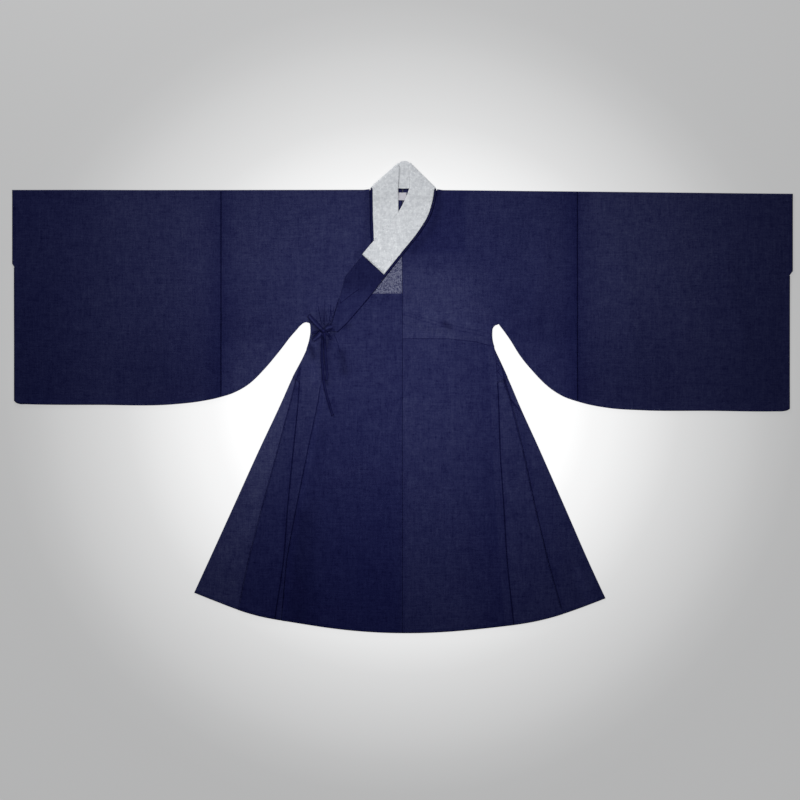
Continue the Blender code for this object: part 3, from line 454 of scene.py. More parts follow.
def lay(field, flat, relief=0.0, wall=WALL):
    """Middle surface of a sheet laid over a softened map, lifted by a share of the creases."""
    below = read_map(field, flat[..., 0], flat[..., 1])
    height = below + CLEARANCE * (below > 0) + wall / 2
    if np.any(relief):
        height = height + relief * read_map(RELIEF, flat[..., 0], flat[..., 1])
    return np.dstack([flat, height])


def shares(count, near=(0.0, 0.004, 0.012, 0.026)):
    """Places from 0 to 1 that are close together at both ends."""
    inner = np.linspace(near[-1], 1 - near[-1], count - 2 * (len(near) - 1))
    return np.concatenate([near[:-1], inner, 1 - np.array(near[:-1])[::-1]])


def collar_rows(rows):
    """The collar's table with smooth rows between its own."""
    table = np.array(rows)
    first = [table[0] + (table[1] - table[0]) * t for t in np.linspace(0, 1, COLLAR_SPREAD, endpoint=False)]
    rest = smooth_route(table[1:], (len(table) - 2) * COLLAR_SPREAD + 1)
    sewn = sorted((row[3], row[2]) for row in rows[1:])
    rest[:, 2] = curve(sewn, rest[:, 3])
    return np.concatenate([first, rest])


def sewn_x(rows, y):
    return curve([(row[3], row[2]) for row in rows[1:]], y)


def inner_edge_out(side, y):
    """Where a front panel ends: along its collar, and below that at the centre seam."""
    if side == "right":
        return np.where(y < COLLAR_END_Y, SEAM_GAP / 2, -sewn_x(COLLAR_INNER, y) + SEAM_GAP)
    return np.maximum(sewn_x(COLLAR_OUTER, y) + SEAM_GAP, SEAM_GAP / 2)


def skirt_rows(side, outer, across, down, inner=lambda y: SEAM_GAP / 2, top_y=GORE_TOP_Y):
    """Skirt panel between two lines, from the top of the gores down to the hem, found in a few rounds."""
    sign = SIGN[side]
    x = np.full((len(down), len(across)), sign * SKIRT_FIRST_OUT)
    for _ in range(SKIRT_ROUNDS):
        top = np.broadcast_to(top_y, across.shape)[None, :]
        y = top + (hem_y(x) - top) * down[:, None]
        x = sign * (outer(y) + (inner(y) - outer(y)) * across[None, :])
    return np.dstack([x, y])


DOWN = shares(SKIRT_COUNT, (0.0, 0.004, 0.01, 0.018))
ACROSS = shares(BODY_COUNT)


def body_heights(side):
    armpit_y = ARMPIT[side][1]
    above = SHOULDER_Y + (armpit_y - SHOULDER_Y) * shares(ABOVE_ROWS)
    below = armpit_y + (STEP_TOP_Y - armpit_y) * np.linspace(0, 1, SIDE_ROWS)[1:] ** ARMPIT_CROWDING
    below = np.sort(np.concatenate([below, COLLAR_END_ROWS]))[::-1]
    return above, below, np.linspace(STEP_TOP_Y, FRONT_STEP_Y, STEP_ROWS)[1:]


def side_edge(side, seam, rows):
    """Outer edge of a body panel: up the sleeve root, down the side, then slanting in to the gore's seam."""
    down = line_out(side, "outline", np.maximum(rows, STEP_TOP_Y))
    end = line_out(side, seam, GORE_TOP_Y) - SEAM_GAP / 2
    slant = np.maximum(STEP_TOP_Y - rows, 0) / (STEP_TOP_Y - GORE_TOP_Y)
    return np.where(rows >= ARMPIT[side][1] - 1e-9, ARMPIT[side][0], down + (end - down) * slant)


def front_body_flat(side):
    sign = SIGN[side]
    rows = np.concatenate(body_heights(side))
    outer = side_edge(side, "front_seam", rows)
    inner = inner_edge_out(side, rows)
    out = outer[:, None] + (inner - outer)[:, None] * ACROSS[None, :]
    y = np.minimum(rows[:, None], shoulder_y(side, out))
    top = np.dstack([sign * out, y])
    skirt = skirt_rows(side, lambda v: line_out(side, "front_seam", v) - SEAM_GAP / 2, ACROSS, DOWN)
    return np.concatenate([top, skirt])


def back_body_flat(side):
    """The front's columns, and a few more across the back of the neck."""
    sign = SIGN[side]
    rows = np.concatenate(body_heights(side))
    neck_out = float(inner_edge_out(side, np.array(SHOULDER_Y)))
    outer = side_edge(side, "back_seam", rows)
    out = outer[:, None] + (neck_out - outer)[:, None] * ACROSS[None, :]
    y = np.minimum(rows[:, None], shoulder_y(side, out))
    centre = SEAM_GAP / 2 + sign * BACK_SEAM_SHIFT
    neck = np.linspace(neck_out, centre, BACK_NECK_COUNT + 1)[1:]
    neck_rows = np.concatenate([[BACK_NECK_Y - SEAM_GAP], rows[1:]])
    grid_x = np.concatenate([out, np.tile(neck, (len(rows), 1))], axis=1)
    grid_y = np.concatenate([y, np.tile(neck_rows[:, None], (1, BACK_NECK_COUNT))], axis=1)
    top = np.dstack([sign * grid_x, grid_y])
    skirt = skirt_rows(side, lambda v: line_out(side, "back_seam", v) - SEAM_GAP / 2,
                       shares(BODY_COUNT + BACK_NECK_COUNT), DOWN, lambda v: centre)
    return np.concatenate([top, skirt])


def root_flat(side, shift=0.0):
    """The part of a body panel that reaches past the armpit to the sleeve seam."""
    sign = SIGN[side]
    above = body_heights(side)[0]
    armpit_out, armpit_y = ARMPIT[side]
    share = (above[0] - above) / (above[0] - armpit_y)
    seam = SLEEVE_SEAM_OUT[side] + shift - SEAM_GAP / 2
    out = armpit_out + (seam - armpit_out) * shares(ROOT_COUNT, (0.0, 0.008, 0.022, 0.045))
    top = shoulder_y(side, out)
    bottom = curve(UNDERSIDE[side], out)
    bottom[0] = armpit_y
    y = top[None, :] + (bottom - top)[None, :] * share[:, None]
    y[:, 0] = np.minimum(above, shoulder_y(side, armpit_out))
    return np.dstack([np.tile(sign * out, (len(above), 1)), y])


def sleeve_flat(side, shift=0.0):
    """Sleeve beyond the seam: rows from the fold down, columns out to the cuff. Also its first closed row."""
    sign = SIGN[side]
    start = SLEEVE_SEAM_OUT[side] + shift + SEAM_GAP / 2
    down = shares(SLEEVE_DOWN, (0.0, 0.004, 0.012, 0.024))
    along = np.unique(np.concatenate([shares(SLEEVE_COUNT), CUFF_COLUMNS]))
    cuff_top = SHOULDER_Y - SHOULDER_DROP[side]
    split_share = (cuff_top - CUFF_OPENING_Y[side]) / (cuff_top - curve(UNDERSIDE[side], CUFF_OUT))
    closed = int(np.searchsorted(down, split_share))
    end = np.where(np.arange(len(down)) >= closed, CUFF_OUT - CUFF_CLOSED_STEP[side], CUFF_OUT)
    out = start + (end - start)[:, None] * along[None, :]
    top = shoulder_y(side, out)
    y = top + (curve(UNDERSIDE[side], out) - top) * down[:, None]
    return np.dstack([sign * out, y]), closed


def fold_strip(upper, lower, outward):
    """Rounded strip that joins two edges lying over each other, bulging along the outward directions."""
    outward = np.asarray(outward, float)
    radius = (upper[:, 2] - lower[:, 2]) / 2
    middle = (upper[:, 2] + lower[:, 2]) / 2
    strip = []
    for step in range(FOLD_STEPS + 1):
        turn = math.pi * step / FOLD_STEPS
        bulge = outward * (radius * math.sin(turn))[:, None]
        flat = upper[:, :2] + (lower - upper)[:, :2] * step / FOLD_STEPS + bulge
        strip.append(np.column_stack([flat, middle + radius * math.cos(turn)]))
    return np.stack(strip, axis=1)


def edge_ways(points, hint):
    """Outward directions along an edge, square to it and on the side of the hint."""
    flat = np.array(points)[:, :2]
    tangent = np.gradient(flat, axis=0)
    way = np.stack([tangent[:, 1], -tangent[:, 0]], axis=1)
    way /= np.maximum(np.linalg.norm(way, axis=1), 1e-9)[:, None]
    flip = np.sign(way @ np.array(hint))
    flip[flip == 0] = 1
    return way * flip[:, None]


def puff(sheet, edge):
    """Rounds a sheet up towards the edge where the cloth turns over a fold."""
    apart, _ = to_polyline(sheet[..., 0], sheet[..., 1], edge[:, :2])
    sheet[..., 2] += FOLD_PUFF * np.exp(-(apart / FOLD_PUFF_WIDTH) ** 2)


class Piece:
    """One cut of cloth: middle-surface grids with a tone and distances for the shader at each point."""

    DEFAULTS = {"tone": 1.0, "keep": 1.0, "seam": 1.0, "hem": 1.0, "patch": -1.0, "under_lap": -1.0,
                "under_tie": -1.0, "veil": -1.0, "mark": NO_SHADE_LINE}

    def __init__(self, name, material, wall=WALL):
        self.name = name
        self.material = material
        self.wall = wall
        self.grids = []

    def add(self, sheet, **given):
        values = {**self.DEFAULTS, **given}
        values = {key: np.broadcast_to(value, sheet.shape[:2]) for key, value in values.items()}
        self.grids.append((sheet, values))

    def build(self, slot, replaces, flat, held, rests_on, area=None):
        points, faces, layers = [], [], {key: [] for key in self.DEFAULTS}
        count = 0
        for sheet, values in self.grids:
            rows, columns = sheet.shape[:2]
            index = count + np.arange(rows * columns).reshape(rows, columns)
            quads = np.stack([index[:-1, :-1], index[:-1, 1:], index[1:, 1:], index[1:, :-1]], axis=-1)
            faces.append(quads.reshape(-1, 4))
            points.append(sheet.reshape(-1, 3))
            for key, layer in layers.items():
                layer.append(values[key].ravel())
            count += rows * columns
        mesh = bpy.data.meshes.new(self.name)
        mesh.from_pydata(np.concatenate(points).tolist(), [], np.concatenate(faces).tolist())
        for key, layer in layers.items():
            mesh.attributes.new(key, "FLOAT", "POINT")
            mesh.attributes[key].data.foreach_set("value", np.concatenate(layer).astype(np.float32))
        form = bmesh.new()
        form.from_mesh(mesh)
        bmesh.ops.remove_doubles(form, verts=form.verts, dist=WELD_DISTANCE)
        bmesh.ops.recalc_face_normals(form, faces=form.faces)
        form.to_mesh(mesh)
        form.free()
        mesh.shade_smooth()
        mesh.materials.append(self.material)
        obj = bpy.data.objects.new(self.name, mesh)
        bpy.context.scene.collection.objects.link(obj)
        shell = obj.modifiers.new("wall", "SOLIDIFY")
        shell.thickness = self.wall
        shell.offset = 0.0
        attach(obj, "root")
        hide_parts(*replaces)


def node(tree, kind, inputs, **settings):
    """A shader node, with each input set to a value or joined to another node's output."""
    made = tree.nodes.new(kind)
    for name, value in settings.items():
        setattr(made, name, value)
    for key, value in inputs.items():
        if isinstance(value, bpy.types.NodeSocket):
            tree.links.new(value, made.inputs[key])
        else:
            made.inputs[key].default_value = value
    return made.outputs[0]


def attribute(tree, key):
    """One of the values that a Piece gives each point."""
    made = tree.nodes.new("ShaderNodeAttribute")
    made.attribute_name = key
    return made.outputs["Fac"]


def math_node(tree, operation, *values):
    return node(tree, "ShaderNodeMath", dict(enumerate(values)), operation=operation)


def ramp(tree, value, low, high, at_low, at_high):
    """Smooth change from one number to another as a value goes from low to high."""
    inputs = {"Value": value, "From Min": low, "From Max": high, "To Min": at_low, "To Max": at_high}
    return node(tree, "ShaderNodeMapRange", inputs, interpolation_type="SMOOTHSTEP")


def mix_colour(tree, factor, first, second):
    """A mix of two colours. The node's inputs are numbered because several share a name."""
    if not isinstance(first, bpy.types.NodeSocket):
        first = (*first, 1.0)
    inputs = {0: factor, 6: first, 7: (*second, 1.0)}
    return node(tree, "ShaderNodeMix", inputs, data_type="RGBA").node.outputs[2]


def shade_colour(tree, colour, factor, blue_power):
    """Darkens a colour as threads in shadow do: its blue by less than the rest."""
    blue = math_node(tree, "POWER", factor, blue_power)
    channels = node(tree, "ShaderNodeCombineXYZ", {"X": factor, "Y": factor, "Z": blue})
    return node(tree, "ShaderNodeVectorMath", {0: colour, 1: channels}, operation="MULTIPLY")


def noise(tree, scale, detail=2.0):
    """Noise in the piece's own metres, with its own scale on each axis."""
    place = tree.nodes["place"].outputs["Object"]
    place = node(tree, "ShaderNodeMapping", {"Vector": place, "Scale": scale})
    inputs = {"Vector": place, "Scale": 1.0, "Detail": detail, "Roughness": 0.55}
    return node(tree, "ShaderNodeTexNoise", inputs)


def new_material(name, roughness, specular, sheen, sheen_tint=WHITE):
    """A material with its tree, its shader and a node for the place on the piece."""
    material = bpy.data.materials.new(name)
    material.use_nodes = True
    tree = material.node_tree
    shader = tree.nodes["Principled BSDF"]
    for key, value in (("Roughness", roughness), ("Specular IOR Level", specular), ("Sheen Weight", sheen),
                       ("Sheen Roughness", 0.5), ("Sheen Tint", (*sheen_tint, 1.0))):
        shader.inputs[key].default_value = value
    tree.nodes.new("ShaderNodeTexCoord").name = "place"
    return material, tree, shader


def dress(tree, shader, colour, height, strength, depth):
    """Gives a material its colour, and relief from a height."""
    bump = node(tree, "ShaderNodeBump", {"Strength": strength, "Distance": depth, "Height": height})
    tree.links.new(colour, shader.inputs["Base Color"])
    tree.links.new(bump, shader.inputs["Normal"])


# Noise of the cloth: its scale on each axis, detail and weight
THREADS = (
    ((34.0, 300.0, 60.0), 2.0, 1.0),
    ((330.0, 30.0, 60.0), 2.0, 1.0),
    ((8.0, 130.0, 40.0), 2.0, 0.4),
    ((125.0, 7.0, 40.0), 2.0, 0.5),
    ((230.0, 230.0, 60.0), 3.0, 1.5),
    ((105.0, 88.0, 60.0), 3.0, 0.8),
)
THREADS_MEAN = 0.5 * sum(weight for _, _, weight in THREADS)
THREAD_CONTRAST = 0.95
THREAD_DARKEST = 0.2
# Uneven dye: scale, share of the noise, and what is added to it
CLOUD_SCALE, CLOUD_SHARE, CLOUD_REST = (5.0, 4.0, 5.0), 0.4, 0.8
BLOTCH_SCALE, BLOTCH_SHARE, BLOTCH_REST = (38.0, 30.0, 30.0), 0.7, 0.65
# Cloth below that shows through: the value it follows, softness of its edge, light left
SHOWS_THROUGH = (("under_lap", 0.0012, 0.76), ("patch", 0.008, 0.74))
# Dark lines: the distance each follows, where it is full and where it ends, light left. Along seams the
# darkness is the seam allowance with painted shade beside it; the shade lines are painted shade
DARK_LINES = (
    ("seam", 0.001, 0.003, 0.28),
    ("seam", 0.0085, 0.01, 0.93),
    ("hem", 0.011, 0.0125, 0.86),
    ("under_tie", 0.0004, 0.002, 0.66),
    ("mark", 0.35, 1.4, 0.3),
)
SIGNED_DISTANCES = ("under_tie", "mark")
# Blue is darkened by this power of what darkens red and green
KEEP_BLUE_POWER = 0.7
SPREAD_BLUE_POWER = 0.5
VEIL_SCALE, VEIL_SHARE, VEIL_REST = (300.0, 300.0, 60.0), 4.4, -1.58
VEIL_EDGE = 0.0008
HEM_THICKNESS = (0.011, 0.0125, 1.0, 0.0)
SEAM_GROOVE = (0.0, 0.003, -1.6, 0.0)
HEM_RELIEF = 1.6
# The white cover: scale and detail of each noise, then where it rises and between which values
WHITE_CLOUD = ((95.0, 110.0, 60.0), 4.0, (0.38, 0.64, 0.3, 0.62))
WHITE_FLECKS = ((300.0, 150.0, 60.0), 3.0, (0.58, 0.7, 0.0, 0.55))
WHITE_WOVEN_SHARE = 0.34
WHITE_EDGE = (0.0002, 0.002, 0.3, 0.0)
LABEL_RIBS = (120.0, 2400.0, 60.0)


def woven_height(tree):
    """Fine plain weave with uneven threads both ways, as one number around 0."""
    total = -THREADS_MEAN
    for scale, detail, weight in THREADS:
        total = math_node(tree, "MULTIPLY_ADD", noise(tree, scale, detail), weight, total)
    return total


def cloth_material(name, strength):
    """Slubby blue plain weave, darker where more cloth lies below it and along its seams, with painted shade
    at its folds and creases.
    """
    material, tree, shader = new_material(name, 0.8, 0.05, 0.03, CLOTH_SHEEN)
    woven = woven_height(tree)
    cloud = math_node(tree, "MULTIPLY_ADD", noise(tree, CLOUD_SCALE, 3.0), CLOUD_SHARE, CLOUD_REST)
    value = math_node(tree, "MULTIPLY", attribute(tree, "tone"), cloud)
    for key, softness, left in SHOWS_THROUGH:
        through = ramp(tree, attribute(tree, key), -softness, softness, 1.0, left)
        value = math_node(tree, "MULTIPLY", value, through)
    colour = mix_colour(tree, value, CLOTH_DARK, CLOTH_LIGHT)

    spread = math_node(tree, "MULTIPLY_ADD", woven, THREAD_CONTRAST * strength, 1.0)
    spread = math_node(tree, "MAXIMUM", spread, THREAD_DARKEST)
    for key, full, end, left in DARK_LINES:
        apart = attribute(tree, key)
        if key in SIGNED_DISTANCES:
            apart = math_node(tree, "ABSOLUTE", apart)
        spread = math_node(tree, "MULTIPLY", spread, ramp(tree, apart, full, end, left, 1.0))
    blotch = math_node(tree, "MULTIPLY_ADD", noise(tree, BLOTCH_SCALE), BLOTCH_SHARE, BLOTCH_REST)
    spread = math_node(tree, "MULTIPLY", spread, blotch)
    # The keep value darkens the colour evenly: painted soft shadows, the painted fall-off of light, and the
    # collar's darker cloth
    colour = shade_colour(tree, colour, attribute(tree, "keep"), KEEP_BLUE_POWER)
    colour = shade_colour(tree, colour, spread, SPREAD_BLUE_POWER)

    speckle = math_node(tree, "MULTIPLY_ADD", noise(tree, VEIL_SCALE, 3.0), VEIL_SHARE, VEIL_REST)
    inside = ramp(tree, attribute(tree, "veil"), -VEIL_EDGE, VEIL_EDGE, 0.0, 1.0)
    colour = mix_colour(tree, math_node(tree, "MULTIPLY", inside, speckle), colour, VEIL_COLOUR)
    thickness = ramp(tree, attribute(tree, "hem"), *HEM_THICKNESS)
    groove = ramp(tree, attribute(tree, "seam"), *SEAM_GROOVE)
    height = math_node(tree, "MULTIPLY_ADD", thickness, HEM_RELIEF, woven)
    height = math_node(tree, "ADD", groove, height)
    dress(tree, shader, colour, height, 0.45, 0.0004)
    return material


def white_material():
    """Pale cover with faint self-coloured flecks and cloud shapes in its weave."""
    material, tree, shader = new_material("ramie_white", 0.62, 0.2, 0.05)
    woven = woven_height(tree)
    value = math_node(tree, "MULTIPLY", woven, WHITE_WOVEN_SHARE)
    for scale, detail, rise in (WHITE_CLOUD, WHITE_FLECKS):
        value = math_node(tree, "ADD", ramp(tree, noise(tree, scale, detail), *rise), value)
    value = math_node(tree, "MULTIPLY", value, attribute(tree, "tone"))
    colour = mix_colour(tree, value, WHITE_SHADE, WHITE_COLOUR)
    edge = ramp(tree, attribute(tree, "seam"), *WHITE_EDGE)
    dress(tree, shader, mix_colour(tree, edge, colour, WHITE_SEAM), woven, 0.4, 0.0003)
    return material


def label_material():
    """Bare woven label."""
    material, tree, shader = new_material("label_white", 0.7, 0.2, 0.05)
    ribs = noise(tree, LABEL_RIBS)
    dress(tree, shader, mix_colour(tree, ribs, LABEL_SHADE, LABEL_COLOUR), ribs, 0.3, 0.0002)
    return material


# Tones of the panels
TONE_BODY = 0.72
TONE_SIDE = {"right": 0.92, "left": 0.71}
# Painted shade: the skirt's tone at the hem on each side
TONE_SKIRT_LOW = {"right": 0.5, "left": 0.8}
TONE_PLEAT = {"right": 0.84, "left": 0.86}
TONE_GORE = {"right": 1.72, "left": 0.84}
TONE_COLLAR_DARK = 0.56
COLLAR_KEEP = 0.66
TONE_COLLAR_LOW = 0.62
TONE_COLLAR_INNER = 0.5
# Painted shade on the inside of the back leaf
TONE_INSIDE_SHADE = 0.75
SKIRT_TONE_Y = (-0.62, 0.12)
SKIRT_BLEND_X = 0.02
CHEST_LIFT = 0.52
CHEST_OUT = (0.14, 0.3)
CHEST_Y = (0.34, 0.42)
SEAM_DIP = 0.34
SEAM_DIP_WIDTH = 0.042
# Painted shade: the lower half of each sleeve and of the body beside it is darker, a painted fall-off of the
# light
LOW_SHADE = 0.4
LOW_SHADE_Y = (0.02, 0.42)
LOW_SHADE_FROM = (0.24, 0.36)
LOW_SHADE_UNTIL = (0.75, 0.9)
LOW_SHADE_LOST = 0.65
LOW_SHADE_BODY_Y = (0.12, 0.22)
FOLD_TONE = 0.8
PLEAT_RELIEF = 0.8
BAND_RELIEF = 0.5
UNDER_OVERLAP_RELIEF = 0.35
UNDER_OVERLAP_OUT = 0.02
UNDER_OVERLAP_TOP_Y = 0.4
# Painted shadow of the pleat's fold on the gore's lower leaf: light left at the fold, and its width
GORE_FOLD_SHADOW, GORE_FOLD_SHADOW_WIDTH = 0.8, 0.024
SLEEVE_TONE = {"right": 0.92, "left": 1.06}
OUTER_OVERLAP_TONE = 0.72
CENTRE_SEAM_SET_IN = 0.0013
BACK_RELIEF = 0.3
NECK_PATCH = ((-0.184, 0.427), (0.187, 0.625))
VEIL_RIGHT_X = -0.0015
VEIL_BOTTOM_Y = 0.3063
INNER_TIES = {
    "front": ((0.0014, 0.25), (0.0515, 0.233), (0.086, 0.223), (0.122, 0.2125)),
    "side": ((0.133, 0.211), (0.19, 0.198), (0.23, 0.189), (0.256, 0.184)),
}
INNER_TIE_WIDTH = 0.01
# Painted shade: the sleeves darken towards their cuffs
CUFF_SHADE = {"right": 0.36, "left": 0.26}
CUFF_SHADE_OUT = (0.75, 1.1)
TIE_TONE = 0.64
TIE_EDGE_SHARE = 0.48
TIE_WIDTH = 0.0075
TIE_THICKNESS = 0.0014
TIE_WALL = 0.0004
COLLAR_TONE_Y = (0.285, 0.335)
COLLAR_KEEP_Y = (0.285, 0.345)
COLLAR_NO_HEM = 0.02
COLLAR_STEPS = shares(COLLAR_ACROSS, (0.0, 0.02))

RELIEF = crease_field()
ground = Ground()
LEVEL = np.zeros_like(ground.top)
ramie = cloth_material("ramie_blue", 1.0)
band_cloth = cloth_material("ramie_collar", 0.8)
tie_cloth = cloth_material("ramie_tie", 0.8)
white = white_material()
label_cloth = label_material()


def inside_box(sheet, corners):
    """Signed distance into a box, positive inside."""
    (low_x, low_y), (high_x, high_y) = corners
    x, y = sheet[..., 0], sheet[..., 1]
    return np.minimum(np.minimum(x - low_x, high_x - x), np.minimum(y - low_y, high_y - y))


def skirt_tone(sheet):
    """The skirt darkens towards the hem, more on the wearer's right: painted fall-off of the light away from
    the middle.
    """
    right, left = TONE_SKIRT_LOW["right"], TONE_SKIRT_LOW["left"]
    low = right + (left - right) * smoothstep(-SKIRT_BLEND_X, SKIRT_BLEND_X, sheet[..., 0])
    return 1 - (1 - low) * (1 - smoothstep(*SKIRT_TONE_Y, sheet[..., 1]))


def seam_dip(side, out):
    """Darker cloth along each side of a sleeve's seam."""
    return 1 - SEAM_DIP * np.exp(-((out - SLEEVE_SEAM_OUT[side]) / SEAM_DIP_WIDTH) ** 2)


def low_shade(out, y):
    """Share by which painted shade darkens the lower half of a sleeve and of the body beside it."""
    reach = smoothstep(*LOW_SHADE_FROM, out) * (1 - LOW_SHADE_LOST * smoothstep(*LOW_SHADE_UNTIL, out))
    return LOW_SHADE * reach * (1 - smoothstep(*LOW_SHADE_Y, y))


def low_light(out, y):
    """The same as painted light left on a body panel, shared between its tone and keep values."""
    return np.sqrt(1 - low_shade(out, y) * smoothstep(*LOW_SHADE_BODY_Y, y))


def chest_tone(side, x, y):
    """Lighter chest beside the centre seam, where the least cloth lies below the wearer's left front."""
    if side == "right":
        return 1.0
    return 1 + CHEST_LIFT * (1 - smoothstep(*CHEST_OUT, x)) * (1 - smoothstep(*CHEST_Y, y))


def hem_of(sheet):
    return sheet[..., 1] - hem_y(sheet[..., 0])


def from_column(sheet, column):
    """Distance along x from the first or last column, 0 or -1."""
    return np.abs(sheet[..., 0] - sheet[:, column, 0][:, None])


def front_values(side, sheet, seam_from):
    """Tone and distances over a front leaf."""
    x, y = sheet[..., 0], sheet[..., 1]
    out = np.abs(x)
    inner = from_column(sheet, -1) + CENTRE_SEAM_SET_IN
    outer = np.where(np.arange(len(x))[:, None] >= seam_from, from_column(sheet, 0), 1.0)
    # Painted fall-off of light over the lower body, and painted soft shadows in keep
    low = low_light(out, y)
    tone = TONE_BODY * TONE_SIDE[side] * chest_tone(side, x, y) * skirt_tone(sheet)
    values = {
        "tone": tone * seam_dip(side, out) * low,
        "keep": shadow_tone(sheet) * low,
        "mark": signed_shade_lines(sheet),
        "seam": np.minimum(inner, outer),
        "hem": hem_of(sheet),
    }
    if side == "left":
        values["patch"] = inside_box(sheet, NECK_PATCH)
        top = np.interp(x, *np.array(INNER_OVERLAP_TOP).T)
        values["under_lap"] = np.minimum(top - y, line_out("left", "overlap_edge", y) - x)
        apart = np.minimum(*[to_polyline(x, y, points)[0] for points in INNER_TIES.values()])
        values["under_tie"] = INNER_TIE_WIDTH / 2 - apart
    return values


def root_values(side, sheet):
    x, y = sheet[..., 0], sheet[..., 1]
    out = np.abs(x)
    low = low_light(out, y)
    return {"tone": TONE_BODY * TONE_SIDE[side] * seam_dip(side, out) * low, "keep": shadow_tone(sheet) * low,
            "seam": SLEEVE_SEAM_OUT[side] - out, "mark": signed_shade_lines(sheet)}


def body_edges(side, sheet, root):
    """Shoulder of a body panel and its side down to the gore, each after its sleeve root's own edge."""
    closed = ABOVE_ROWS + len(body_heights(side)[1])
    shoulder = np.concatenate([root[0, ::-1], sheet[0, 1:BODY_COUNT]])
    return shoulder, np.concatenate([root[-1, ::-1], sheet[ABOVE_ROWS:closed, 0]])


def build_body(side, field, backs, relief):
    """Body panel in one length over the shoulder, with its sleeve root."""
    seam_from = ABOVE_ROWS + len(body_heights(side)[1]) + STEP_ROWS - 1
    flat = front_body_flat(side)
    front = lay(field, flat, relief=relief(flat))
    front_root = lay(field, root_flat(side), relief=1.0)
    back, back_root = backs
    edges = body_edges(side, front, front_root)
    for sheet in (front, front_root):
        for edge in edges:
            puff(sheet, edge)
    shoulder, under = body_edges(side, front, front_root)
    shoulder_back, under_back = body_edges(side, back, back_root)
    piece = Piece(f"cloth_body_{side}", ramie)
    piece.add(front, **front_values(side, front, seam_from))
    piece.add(front_root, **root_values(side, front_root))
    # The back leaf's inside is darker with painted shade
    inside = TONE_BODY * TONE_INSIDE_SHADE * skirt_tone(back)
    piece.add(back, tone=inside, hem=hem_of(back), seam=from_column(back, -1))
    piece.add(back_root, tone=TONE_BODY)
    piece.add(fold_strip(shoulder, shoulder_back, [(0.0, 1.0)] * len(shoulder)), tone=TONE_BODY)
    ways = edge_ways(under, (SIGN[side] * 0.4, -1.0))
    piece.add(fold_strip(under, under_back, ways), tone=TONE_BODY * FOLD_TONE)
    return piece, [front, front_root]


def closed_edge(sheet, closed):
    """Lower edge of a sleeve and on up the closed part of its cuff."""
    return np.concatenate([sheet[-1], sheet[closed:-1, -1][::-1]])


def build_sleeve(side, field, flat, closed, back):
    """Folded along its top, sewn along its bottom and up the lower part of its cuff, open above that."""
    front = lay(field, flat, relief=1.0)
    puff(front, flat[0])
    puff(front, closed_edge(flat, closed))
    top = fold_strip(front[0], back[0], [(0.0, 1.0)] * flat.shape[1])
    edge = closed_edge(front, closed)
    under = fold_strip(edge, closed_edge(back, closed), edge_ways(edge, (SIGN[side] * 0.6, -1.0)))
    out = np.abs(flat[..., 0])
    seam = out - (SLEEVE_SEAM_OUT[side] + SEAM_GAP / 2)
    # Painted shade over the lower half of the sleeve and towards its cuff
    low = np.sqrt(1 - low_shade(out, flat[..., 1]))
    cuff = 1 - CUFF_SHADE[side] * smoothstep(*CUFF_SHADE_OUT, out)
    tone = TONE_BODY * SLEEVE_TONE[side] * cuff * seam_dip(side, out) * low
    piece = Piece(f"cloth_sleeve_{side}", ramie)
    piece.add(front, tone=tone, keep=low, seam=seam, hem=CUFF_OUT - out)
    piece.add(back, tone=tone, seam=seam, hem=CUFF_OUT - out)
    piece.add(top, tone=TONE_BODY)
    piece.add(under, tone=TONE_BODY * FOLD_TONE)
    return piece


def pleat_grids(side):
    """The gore's three leaves: the lower one, the one folded back under the pleat, and the upper one."""
    hidden = lambda y: line_out(side, "front_seam", y) + INNER_PLEAT_SET_IN
    outline = lambda y: line_out(side, "outline", y)
    fold = lambda y: line_out(side, "pleat_fold", y)
    seam = lambda y: line_out(side, "front_seam", y) + SEAM_GAP / 2
    under_y = STEP_TOP_Y - SEAM_GAP
    lower, middle, upper = PLEAT_COLUMNS
    return (skirt_rows(side, outline, shares(lower), DOWN, hidden, under_y),
            skirt_rows(side, hidden, shares(middle), DOWN, fold, under_y),
            skirt_rows(side, fold, shares(upper), DOWN, seam, GORE_TOP_Y - SEAM_GAP))


def build_gore(side, lower, middle, upper):
    sign = SIGN[side]
    rows = len(lower)
    # Painted shadow on the lower leaf beside the pleat's fold
    edge = to_polyline(lower[..., 0], lower[..., 1], upper[::6, 0, :2])[0]
    shade = GORE_FOLD_SHADOW + (1 - GORE_FOLD_SHADOW) * smoothstep(0.0, GORE_FOLD_SHADOW_WIDTH, edge)
    lower_tone = skirt_tone(lower) * TONE_BODY * TONE_GORE[side] * shade
    pleat = TONE_BODY * TONE_PLEAT[side]
    piece = Piece(f"cloth_gore_front_{side}", ramie)
    piece.add(lower, tone=lower_tone, keep=shadow_tone(lower), hem=hem_of(lower), mark=signed_shade_lines(lower))
    piece.add(middle, tone=pleat, hem=hem_of(middle))
    piece.add(upper, tone=pleat * skirt_tone(upper), hem=hem_of(upper), seam=from_column(upper, -1),
              mark=signed_shade_lines(upper))
    piece.add(fold_strip(middle[:, 0], lower[:, -1], [(-sign, 0.0)] * rows), tone=pleat)
    piece.add(fold_strip(upper[:, 0], middle[:, -1], [(sign, 0.0)] * rows), tone=pleat)
    return piece


def overlap_inner_flat():
    """Panel sewn to the wearer's right front at the centre, under the left front."""
    lines = skirt_rows("left", lambda y: line_out("left", "overlap_edge", y), ACROSS, DOWN)
    outs = lines[0, :, 0]
    tops = np.interp(outs, *np.array(INNER_OVERLAP_TOP).T)
    head = [np.column_stack([outs, tops + (GORE_TOP_Y - tops) * share])
            for share in np.linspace(0, 0.97, OVERLAP_HEAD_ROWS)]
    return np.concatenate([head, lines])


